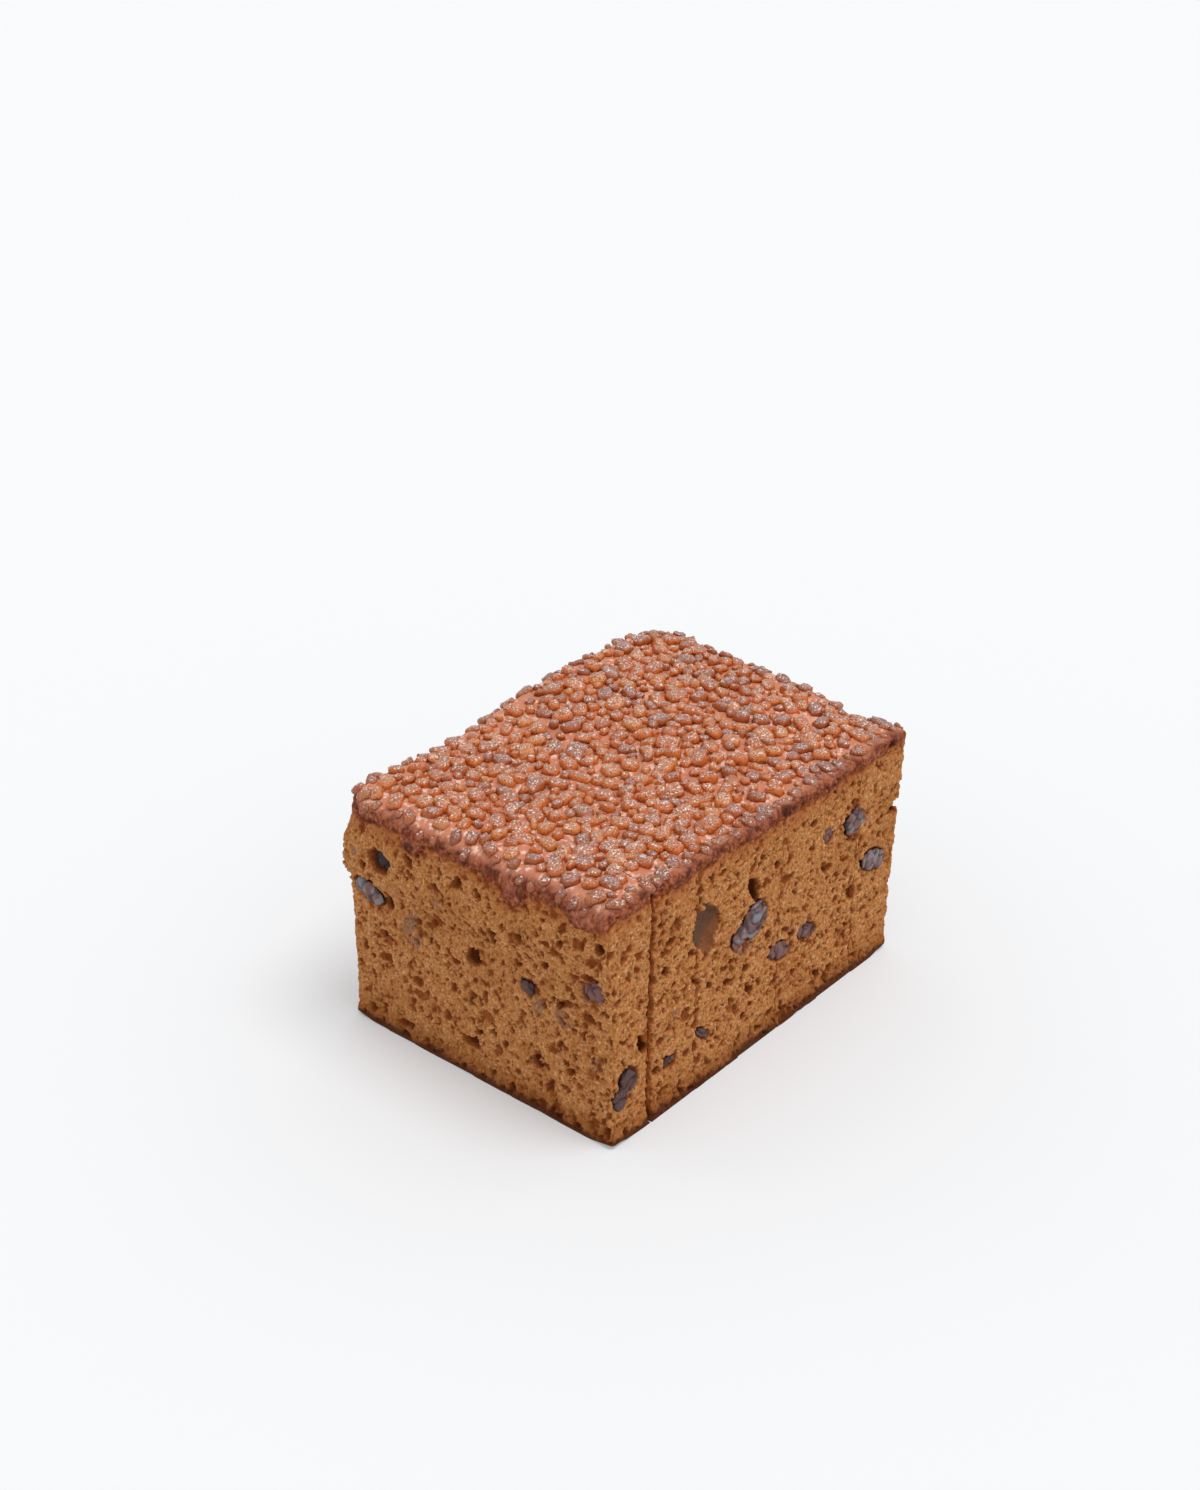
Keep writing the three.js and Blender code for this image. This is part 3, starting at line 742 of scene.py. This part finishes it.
def inside_outline(x, y):
    """How far a place on the crust lies inside the outline with its rounded corners."""
    inside = min(x, LENGTH - x, y, DEPTH - y)
    for side_x, side_y, _, radius in CORNERS:
        a = radius - abs(x - side_x * LENGTH)
        b = radius - abs(y - side_y * DEPTH)
        if a > 0 and b > 0:
            inside = min(inside, radius - math.hypot(a, b))
    return inside


def crust_frame(x, y):
    """A place on the crust, a frame that lies on it, and the way straight out of it."""
    step = 0.5
    inside = max(y, step)
    along_x = (one_point(x + step, inside) - one_point(x - step, inside)).normalized()
    along_y = (one_point(x, inside + step) - one_point(x, inside - step)).normalized()
    normal = along_x.cross(along_y).normalized()
    origin = one_point(x, max(y, 0))
    origin.y += min(y, 0)
    turn = Matrix((along_x, normal.cross(along_x), normal)).transposed()
    return origin, turn, normal


def make_top(places):
    """The crust between the nibs: wrinkled, and drawn up against each nib."""
    top = Relief(LENGTH, DEPTH, 15)
    wrinkles = top.noise((0.16, 2.6), (0.08, 0.9))
    reach = NIB_SKIRT["reach"]
    for x, y, long, wide, high, turn in places:
        box, dome = top.dome((x, y, long + reach, wide + reach, math.degrees(turn)), 0.8)
        lift(top.depth, box, NIB_SKIRT["height"] * high * ease(dome, 0, 0.7))
    top.depth += wrinkles
    for patch in BARE_PATCHES:
        box, dome = top.dome(patch, 1)
        lift(top.imprint, box, ease(dome, 0, 0.5))
    return top


def add(tree, kind, inputs=None, **settings):
    """A node with its settings and inputs. An input is a value, a socket, or a node, whose first
    output is then taken."""
    made = tree.nodes.new(kind)
    for name, value in settings.items():
        setattr(made, name, value)
    for key, value in (inputs or {}).items():
        if isinstance(value, bpy.types.Node):
            value = value.outputs[0]
        if isinstance(value, bpy.types.NodeSocket):
            tree.links.new(value, made.inputs[key])
        else:
            made.inputs[key].default_value = value
    return made


def plain_copy(made):
    """An object's mesh with its modifiers applied; the object itself goes."""
    graph = bpy.context.evaluated_depsgraph_get()
    mesh = bpy.data.meshes.new_from_object(made.evaluated_get(graph), depsgraph=graph)
    bpy.data.objects.remove(made)
    return mesh


def nib_tree(inputs):
    """Geometry nodes that set a lumpy grain of sugar on every point. They have these inputs, by
    name, kind and value, beside the places."""
    tree = bpy.data.node_groups.new("sugar_nibs", "GeometryNodeTree")
    tree.interface.new_socket("Nibs", in_out="OUTPUT", socket_type="NodeSocketGeometry")
    tree.interface.new_socket("Places", in_out="INPUT", socket_type="NodeSocketGeometry")
    for name, (kind, _) in inputs.items():
        tree.interface.new_socket(name, in_out="INPUT", socket_type="NodeSocket" + kind)
    given = add(tree, "NodeGroupInput").outputs
    count = given["Vertices a side"]
    cube = add(tree, "GeometryNodeMeshCube", {
        "Size": (1, 1, 1), "Vertices X": count, "Vertices Y": count, "Vertices Z": count,
    })
    place = add(tree, "GeometryNodeInputPosition")
    outward = add(tree, "ShaderNodeVectorMath", {0: place}, operation="NORMALIZE")
    blend = add(tree, "ShaderNodeMix", {
        0: given["Roundness"], 4: place, 5: outward,
    }, data_type="VECTOR")
    grain = add(tree, "GeometryNodeSetPosition", {"Geometry": cube, "Position": blend.outputs[1]})
    turn, size = (
        add(tree, "GeometryNodeInputNamedAttribute", {"Name": name}, data_type="FLOAT_VECTOR")
        for name in ("turn", "size")
    )
    grains = add(tree, "GeometryNodeInstanceOnPoints", {
        "Points": add(tree, "GeometryNodeMeshToPoints", {"Mesh": given["Places"]}),
        "Instance": grain,
        "Rotation": add(tree, "FunctionNodeEulerToRotation", {0: turn}),
        "Scale": size,
    })
    tone = add(tree, "FunctionNodeRandomValue", {"Seed": given["Seed"]})
    toned = add(tree, "GeometryNodeStoreNamedAttribute", {
        "Geometry": grains, "Name": "tone", "Value": tone.outputs[1],
    }, domain="INSTANCE")
    real = add(tree, "GeometryNodeRealizeInstances", {0: toned})
    lumps = add(tree, "ShaderNodeTexNoise", {
        "Vector": place, "Scale": given["Lumps a metre"], "Detail": 1.0,
    })
    height = add(tree, "ShaderNodeMapRange", {
        "Value": lumps, "From Min": 0.3, "From Max": 0.7,
        "To Min": given["Dent depth"], "To Max": given["Lump height"],
    })
    offset = add(tree, "ShaderNodeVectorMath", {
        0: add(tree, "GeometryNodeInputNormal"), "Scale": height,
    }, operation="SCALE")
    lumpy = add(tree, "GeometryNodeSetPosition", {"Geometry": real, "Offset": offset})
    smooth = add(tree, "GeometryNodeSetShadeSmooth", {0: lumpy})
    sugar = add(tree, "GeometryNodeSetMaterial", {"Geometry": smooth, "Material": given["Sugar"]})
    add(tree, "NodeGroupOutput", {0: sugar})
    return tree


def put_nibs(places, material):
    points, turns, sizes, rims = [], [], [], []
    draw = seeded_random(NIB_SEED)
    for x, y, long, wide, high, turn in places:
        inset = NIB_INSET * long
        x = min(x, LENGTH - inset)
        y = min(max(y, inset), DEPTH - inset)
        inside = inside_outline(x, y)
        if inside < -NIB_OVERHANG:
            continue
        inner = float(ease(inside, 0, NIB_RIM))
        fit = NIB_FIT * mix(RIM_SHARE["wide"], 1, inner)
        high = high * mix(RIM_SHARE["high"], 1, inner)
        origin, lie, normal = crust_frame(x, y)
        origin.y += SLICE_SHIFTS[slice_of(x)]
        tilts = [mix(-NIB_TILT, NIB_TILT, next(draw)) for _ in range(2)]
        tilt = Euler((*tilts, 0)).to_matrix()
        middle = origin + mix(*NIB_RISE, next(draw) ** 0.5) * high * normal
        points.append((middle - Vector(MIDDLE)) * MM)
        turns.append(tuple((lie @ Matrix.Rotation(turn, 3, "Z") @ tilt).to_euler()))
        sizes.append((long * fit * MM, wide * fit * MM, high * NIB_BULK * MM))
        rims.append(1 - float(ease(inside, 0, NIB_RIM + 1)))
    mesh = bpy.data.meshes.new("nib_places")
    mesh.from_pydata(points, [], [])
    mark(mesh, "turn", turns, "FLOAT_VECTOR")
    mark(mesh, "size", sizes, "FLOAT_VECTOR")
    mark(mesh, "rim", rims)
    places_object = put_object("nib_places", mesh)
    modifier = places_object.modifiers.new("nibs", "NODES")
    inputs = {
        "Vertices a side": ("Int", 4),
        "Roundness": ("Float", NIB_ROUNDNESS),
        "Lumps a metre": ("Float", 1 / (NIB_LUMPS["size"] * MM)),
        "Lump height": ("Float", NIB_LUMPS["height"] * MM),
        "Dent depth": ("Float", NIB_LUMPS["dent"] * MM),
        "Seed": ("Int", 5),
        "Sugar": ("Material", material),
    }
    modifier.node_group = nib_tree(inputs)
    for socket in modifier.node_group.interface.items_tree:
        if socket.name in inputs:
            modifier[socket.identifier] = inputs[socket.name][1]
    made = plain_copy(places_object)
    made.name = "sugar_nibs"
    piece = put_object("sugar_nibs", made)
    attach(piece, "root")


# ======== raisins

RAISIN_VOXEL = 0.27
SKIN_SHIFT = 17.3  # so that no two raisins have the same wrinkles
WANDER = {"size": 2.1, "far": 0.8}
FOLD = {"size": 2.6, "depth": 0.45, "narrow": 3.4}
CREASE = {"size": 1.04, "depth": 0.14, "narrow": 3.6}
SWELL = {"size": 3.4, "height": 0.3, "rest": 0.05}
# the painted sheen fades with the bloom behind a raisin's face
BLOOM_DEPTH = (0.35, 1.1)  # the skin's bloom is gone this far behind a raisin's face


def evened(vertices, faces):
    """The shape with small even faces, its corners rounded off."""
    mesh = bpy.data.meshes.new("lump")
    mesh.from_pydata(vertices.tolist(), [], faces)
    lump = put_object("lump", mesh)
    remesh = lump.modifiers.new("even", "REMESH")
    remesh.mode = "VOXEL"
    remesh.voxel_size = RAISIN_VOXEL
    rounding = lump.modifiers.new("rounded", "SMOOTH")
    rounding.factor = 0.5
    rounding.iterations = 8
    return plain_copy(lump)


def wrinkled(mesh, number):
    """Draws the skin into folds, and gives how deep in a fold each vertex lies."""
    shift = Vector((SKIN_SHIFT * number, 0, 0))
    moved = []
    folds = []
    for vertex in mesh.vertices:
        here = vertex.co + shift
        here = here + WANDER["far"] * noise.noise_vector(here / WANDER["size"])
        fold, crease = (
            max(0, 1 - kind["narrow"] * abs(noise.noise(here / kind["size"])))
            for kind in (FOLD, CREASE)
        )
        swell = SWELL["rest"] + SWELL["height"] * noise.noise(here / SWELL["size"])
        out = swell - FOLD["depth"] * fold ** 1.5 - CREASE["depth"] * crease
        moved.append(vertex.co + out * vertex.normal)
        folds.append(min(1, 0.9 * fold + 0.2 * crease))
    for vertex, place in zip(mesh.vertices, moved):
        vertex.co = place
    return folds


def put_raisin(raisin, number, material):
    """A raisin over its own solids: rounded, drawn into wrinkles, then cut with the slices."""
    whole = evened(raisin["vertices"], raisin["faces"])
    mark(whole, "fold", wrinkled(whole, number))
    facing = SIDES[raisin["side"]]
    ahead = [v.co[facing["axis"]] for v in whole.vertices]
    face = min(ahead) if facing["inward"] > 0 else max(ahead)
    for index, node in raisin["nodes"].items():
        work = bmesh.new()
        work.from_mesh(whole)
        for cut, way in cuts_beside(index):
            lean = (CUTS[cut][1] - CUTS[cut][0]) / FRONT_HEIGHT
            made = bmesh.ops.bisect_plane(
                work,
                geom=[*work.verts, *work.edges, *work.faces],
                plane_co=(cut_place(cut, 0) - way * SEAM_GAPS[cut] / 2, 0, 0),
                plane_no=(way, 0, -way * lean),
                clear_outer=True,
            )
            edges = [e for e in made["geom_cut"] if isinstance(e, bmesh.types.BMEdge)]
            bmesh.ops.contextual_create(work, geom=edges)
        layer = work.verts.layers.float["fold"]
        folds = [v[layer] for v in work.verts]
        points = np.array([v.co for v in work.verts])
        polygons = [[v.index for v in f.verts] for f in work.faces]
        work.free()
        sunk = (points[:, facing["axis"]] - face) * facing["inward"]
        # bloom and painted sheen on a raisin's face, fading where it lies deeper in its pocket
        marks = {"fold": folds, "bloom": raisin["bloom"] * (1 - ease(sunk, *BLOOM_DEPTH))}
        points[:, 1] += SLICE_SHIFTS[index]
        piece = put_mesh("fruit_" + node, points, polygons, len(polygons), marks, material)
        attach(piece, "root")
        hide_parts(node)
    bpy.data.meshes.remove(whole)


# ======== materials

def linear(code):
    """An sRGB hex colour as linear red, green, blue and alpha."""
    parts = [int(code[i:i + 2], 16) / 255 for i in (1, 3, 5)]
    return tuple(p / 12.92 if p <= 0.04045 else ((p + 0.055) / 1.055) ** 2.4 for p in parts) + (1,)


def new_material(name, values):
    """A material whose shader has these values, and its nodes."""
    material = bpy.data.materials.new(name)
    material.use_nodes = True
    shader = material.node_tree.nodes["Principled BSDF"]
    for key, value in values.items():
        shader.inputs[key].default_value = value
    return material, material.node_tree


def read_fields(tree, coords, marks, lumps, roughness=0.5):
    """Fields by name: the mesh's own marks, and noise with lumps of so many millimetres."""
    fields = {}
    for name in marks:
        fields[name] = add(tree, "ShaderNodeAttribute", attribute_name=name).outputs["Fac"]
    for name, size in lumps.items():
        fields[name] = add(tree, "ShaderNodeTexNoise", {
            "Vector": coords, "Scale": 1 / (size * MM), "Detail": 3.0, "Roughness": roughness,
        })
    return fields


def paint(tree, fields, sums, ramps, base, layers, bump):
    """Lays colours over a base colour. A layer is the field that it follows, where that starts
    and ends, the share of the layer at the end, its colour, and the field that masks it, if any.
    A sum is a field times a factor plus another field, and a ramp is a field that rises from 0
    to 1 between two values of another. The bump is a field, a strength and a depth in
    millimetres."""
    for name, (source, factor, other) in sums.items():
        fields[name] = add(tree, "ShaderNodeMath", {
            0: fields[source], 1: factor, 2: fields[other],
        }, operation="MULTIPLY_ADD")
    for name, (source, start, end) in ramps.items():
        fields[name] = add(tree, "ShaderNodeMapRange", {
            "Value": fields[source], "From Min": start, "From Max": end,
        }, interpolation_type="SMOOTHSTEP")
    colour = linear(base)
    for follows, start, end, share, code, *masks in layers:
        shows = add(tree, "ShaderNodeMapRange", {
            "Value": fields[follows], "From Min": start, "From Max": end, "To Max": share,
        }, interpolation_type="SMOOTHSTEP")
        for mask in masks:
            shows = add(tree, "ShaderNodeMath", {0: shows, 1: fields[mask]}, operation="MULTIPLY")
        colour = add(tree, "ShaderNodeMix", {
            0: shows, 6: colour, 7: linear(code),
        }, data_type="RGBA").outputs[2]
    field, strength, deep = bump
    raised = add(tree, "ShaderNodeBump", {
        "Strength": strength, "Distance": deep * MM, "Height": fields[field],
    })
    shader = tree.nodes["Principled BSDF"]
    tree.links.new(colour, shader.inputs["Base Color"])
    tree.links.new(raised.outputs[0], shader.inputs["Normal"])


CRUMB_LAYERS = [
    # fine: the crumb's grain, its light specks partly painted highlight on the granules
    ("fine", 0.52, 0.7, 0.6, "#E6BC8E"),
    ("clump", 0.52, 0.7, 0.45, "#CC9860"),
    # fine, dark: grain, partly painted shade between the granules
    ("fine", 0.47, 0.33, 0.65, "#8C4612"),
    ("medium", 0.45, 0.7, 0.35, "#A4642A"),
    ("broad", 0.42, 0.66, 0.3, "#9A5C2A"),
    # stain: real fruit streaks, and painted shade round the raisins
    ("stain", 0.1, 1, 0.5, "#6E5450"),
    # pit: painted shade in fine pores too small for the mesh
    ("pit", 0.42, 0.16, 0.75, "#682C04", "some pits"),
    # hollow: painted shade, darker and redder the deeper a pore, seam or crevice goes
    ("hollow", 0.2, 0.65, 0.7, "#843600"),
    ("hollow", 0.7, 1.8, 0.85, "#441400"),
    # imprint: the hollow's own brown, then painted shade deepening towards its upper left
    ("imprint", 0, 0.25, 0.9, "#7C4A2E"),
    ("imprint", 0.25, 1, 0.85, "#5C4234"),
    ("above", -3.5, 1.5, 0.6, "#A05426"),
    ("line", 0, 0.6, 0.9, "#7E3A1C"),
    ("above", 1.9, 3.5, 0.8, "#965038"),
    ("line", 0, 1, 0.6, "#B4694A", "some clumps"),
    ("fine", 0.52, 0.64, 0.45, "#BC8464", "line"),
    ("medium", 0.5, 0.38, 0.7, "#58261A", "line"),
    ("fine", 0.46, 0.36, 0.5, "#501E12", "line"),
    ("line", 0, 1, 0.85, "#461C16", "some spots"),
    ("above", 3.6, 7.8, 0.95, "#D28A6C"),
    ("top", 0, 1, 0.45, "#B86E52", "some spots"),
    ("top", 0, 1, 0.8, "#F6D8C8", "some clumps"),
    ("bare", 0, 1, 0.7, "#E4A284"),
    ("foot", 8.5 * MM, 4 * MM, 0.6, "#80420F"),
    ("foot", 4.3 * MM, 2.9 * MM, 0.9, "#4A200E"),
]


def baked_crumb():
    """Soft gingerbread crumb: dull, grainy tan, with painted shade, darker and redder, down in its pores.
    Its crust is baked to a salmon brown on top and red brown at the rim, and its foot to dark brown."""
    material, tree = new_material("baked_gingerbread", {
        "Roughness": 0.78,
        "Specular IOR Level": 0.12,
        "Subsurface Weight": 0.15,
        "Subsurface Radius": (1, 0.45, 0.2),
        "Subsurface Scale": 1.2 * MM,
    })
    coords = add(tree, "ShaderNodeTexCoord").outputs["Object"]
    marks = ("hollow", "above_crust_line", "imprint", "stain", "bare")
    lumps = {"fine": 0.65, "clump": 1.4, "medium": 2.4, "blotch": 5, "broad": 13}
    fields = read_fields(tree, coords, marks, lumps, 0.6)
    bend = add(tree, "ShaderNodeTexNoise", {"Vector": coords, "Scale": 1 / (0.7 * MM)})
    bent = add(tree, "ShaderNodeVectorMath", {
        0: bend.outputs["Color"], 1: (0.5 * MM,) * 3, 2: coords,
    }, operation="MULTIPLY_ADD")
    fields["pit"] = add(tree, "ShaderNodeTexVoronoi", {"Vector": bent, "Scale": 1 / (0.85 * MM)})
    fields["height"] = add(tree, "ShaderNodeSeparateXYZ", {0: coords}).outputs["Z"]
    sums = {
        "above": ("medium", 3, "above_crust_line"),
        "foot": ("blotch", 4 * MM, "height"),
        "grain": ("fine", 1, "clump"),
    }
    ramps = {
        "some pits": ("clump", 0.42, 0.56),
        "some clumps": ("clump", 0.52, 0.64),
        "some spots": ("blotch", 0.54, 0.66),
        "line": ("above", 0.7, 2.1),
        "top": ("above", 4.8, 8.2),
    }
    paint(tree, fields, sums, ramps, "#BA7C46", CRUMB_LAYERS, ("grain", 0.9, 0.4))
    return material


SUGAR_LAYERS = [
    ("tone", 0.5, 1, 0.7, "#904214"),
    ("tone", 0.3, 0, 0.45, "#E0944A"),
    # painted shade on the faces that turn down
    ("facing up", 0.85, 0.3, 0.8, "#74290C"),
    # top: colour set by which way a face turns, partly frost of dried syrup, partly painted sheen on the
    # upward faces
    ("top", 0, 1, 0.85, "#AE785C"),
    ("tone", 0.5, 0.9, 0.75, "#8C6E6E", "top"),
    ("tone", 0.3, 0, 0.4, "#CC9068", "top"),
    ("medium", 0.5, 0.66, 0.45, "#DC9C7C", "top"),
    ("rim", 0.2, 1, 0.6, "#80503F"),
    ("speck", 0.44, 0.36, 0.75, "#6E2E12"),
    # painted glints: white specks on the upward faces
    ("speck", 0.57, 0.64, 0.9, "#FFF4EC", "top"),
]


def baked_sugar():
    """Sugar nibs baked on the crust: amber and see-through at their sides, with painted shade where
    they turn down, a dull mauve top that is partly a frost of dried syrup and partly painted sheen,
    painted glints, and a soft gloss."""
    material, tree = new_material("baked_sugar", {
        "Roughness": 0.28,
        "IOR": 1.5,
        "Subsurface Weight": 0.15,
        "Subsurface Radius": (1, 0.5, 0.2),
        "Subsurface Scale": 1.3 * MM,
    })
    coords = add(tree, "ShaderNodeTexCoord").outputs
    fields = read_fields(tree, coords["Object"], ("tone", "rim"), {"speck": 0.4, "medium": 1.6})
    fields["up"] = add(tree, "ShaderNodeSeparateXYZ", {0: coords["Normal"]}).outputs["Z"]
    # facing up: how far a face turns up, which places the painted shade and the painted sheen
    sums = {"facing up": ("medium", 1.2, "up")}
    ramps = {"top": ("facing up", 1.05, 1.65)}
    paint(tree, fields, sums, ramps, "#CC6822", SUGAR_LAYERS, ("speck", 0.9, 0.25))
    return material


SKIN_LAYERS = [
    ("bloom", 0.05, 0.5, 0.9, "#7A5652"),
    # slate grey: partly bloom, partly painted sheen on the raisin's face
    ("bloom", 0.5, 0.95, 0.95, "#7C7C82", "some"),
    # painted shade in the folds of the skin
    ("fold", 0.2, 1, 0.65, "#1E1216"),
    ("specks", 0.62, 0.7, 0.75, "#8A5A34"),
]


def raisin_skin():
    """Dried grape skin: purple black with painted shade in its folds, slate grey where it carries its
    bloom and a painted sheen.
    """
    material, tree = new_material("raisin_skin", {"Roughness": 0.55, "Specular IOR Level": 0.25})
    coords = add(tree, "ShaderNodeTexCoord").outputs["Object"]
    lumps = {"fine": 0.4, "patchy": 2.2, "specks": 1.1}
    fields = read_fields(tree, coords, ("fold", "bloom"), lumps)
    paint(tree, fields, {}, {"some": ("patchy", 0.43, 0.58)}, "#2C1A1E", SKIN_LAYERS, ("fine", 0.5, 0.08))
    return material


# ======== floor, light and camera

FLOOR_REACH = 12
FLOOR_GLOW = 0.21
SKY_STRENGTH = 0.8
KEY_STRENGTH = 1.3
KEY_SOFTNESS = 30
KEY_TURN = (20, 8, 0)


def put_floor():
    """A plain pale board: dull, and lit a little by itself, as an overexposed one looks."""
    mesh = bpy.data.meshes.new("floor")
    corners = [(-1, -1), (1, -1), (1, 1), (-1, 1)]
    mesh.from_pydata([(FLOOR_REACH * x, FLOOR_REACH * y, 0) for x, y in corners], [], [(0, 1, 2, 3)])
    material, _ = new_material("pale_floor", {
        "Base Color": linear("#CED0D2"),
        "Emission Color": (1, 1, 1, 1),
        "Emission Strength": FLOOR_GLOW,
        "Roughness": 0.9,
        "Specular IOR Level": 0.1,
    })
    mesh.materials.append(material)
    put_object("floor", mesh)


def put_lights():
    world = bpy.data.worlds.new("studio")
    world.use_nodes = True
    sky = world.node_tree.nodes["Background"]
    sky.inputs["Strength"].default_value = SKY_STRENGTH
    sky.inputs["Color"].default_value = (1, 1, 1, 1)
    bpy.context.scene.world = world
    key = bpy.data.lights.new("key", "SUN")
    key.energy = KEY_STRENGTH
    key.angle = math.radians(KEY_SOFTNESS)
    put_object("key", key).rotation_euler = [math.radians(angle) for angle in KEY_TURN]


def put_camera():
    azimuth = math.radians(AZIMUTH)
    elevation = math.radians(ELEVATION)
    back = Vector((
        math.sin(azimuth) * math.cos(elevation),
        -math.cos(azimuth) * math.cos(elevation),
        math.sin(elevation),
    ))
    right = Vector((math.cos(azimuth), math.sin(azimuth), 0))
    up = back.cross(right)
    slide_right, slide_up = CAMERA_SLIDE
    place = Vector(CAMERA_TARGET) + CAMERA_DISTANCE * back + slide_right * right + slide_up * up
    data = bpy.data.cameras.new("camera")
    data.sensor_width = SENSOR
    data.lens = FOCAL_PIXELS / PICTURE_HEIGHT * SENSOR
    data.clip_start, data.clip_end = CLIP
    camera = put_object("camera", data)
    turn = Matrix((right, up, back)).transposed().to_4x4()
    camera.matrix_world = Matrix.Translation(place * MM) @ turn
    bpy.context.scene.camera = camera


# ======== the cake

put_camera()
put_lights()
put_floor()
bpy.context.scene.view_settings.view_transform = "Standard"

crumb = baked_crumb()
sugar = baked_sugar()
skin = raisin_skin()

nibs = nib_places()
top = make_top(nibs)
reliefs = make_reliefs()
raisins = loose_raisins()
for raisin in raisins.values():
    open_pocket(reliefs[raisin["side"]], raisin)
for index in range(len(SLICE_SHIFTS)):
    put_slice(index, reliefs, top, crumb)
put_nibs(nibs, sugar)
for number, raisin in enumerate(raisins.values()):
    put_raisin(raisin, number, skin)
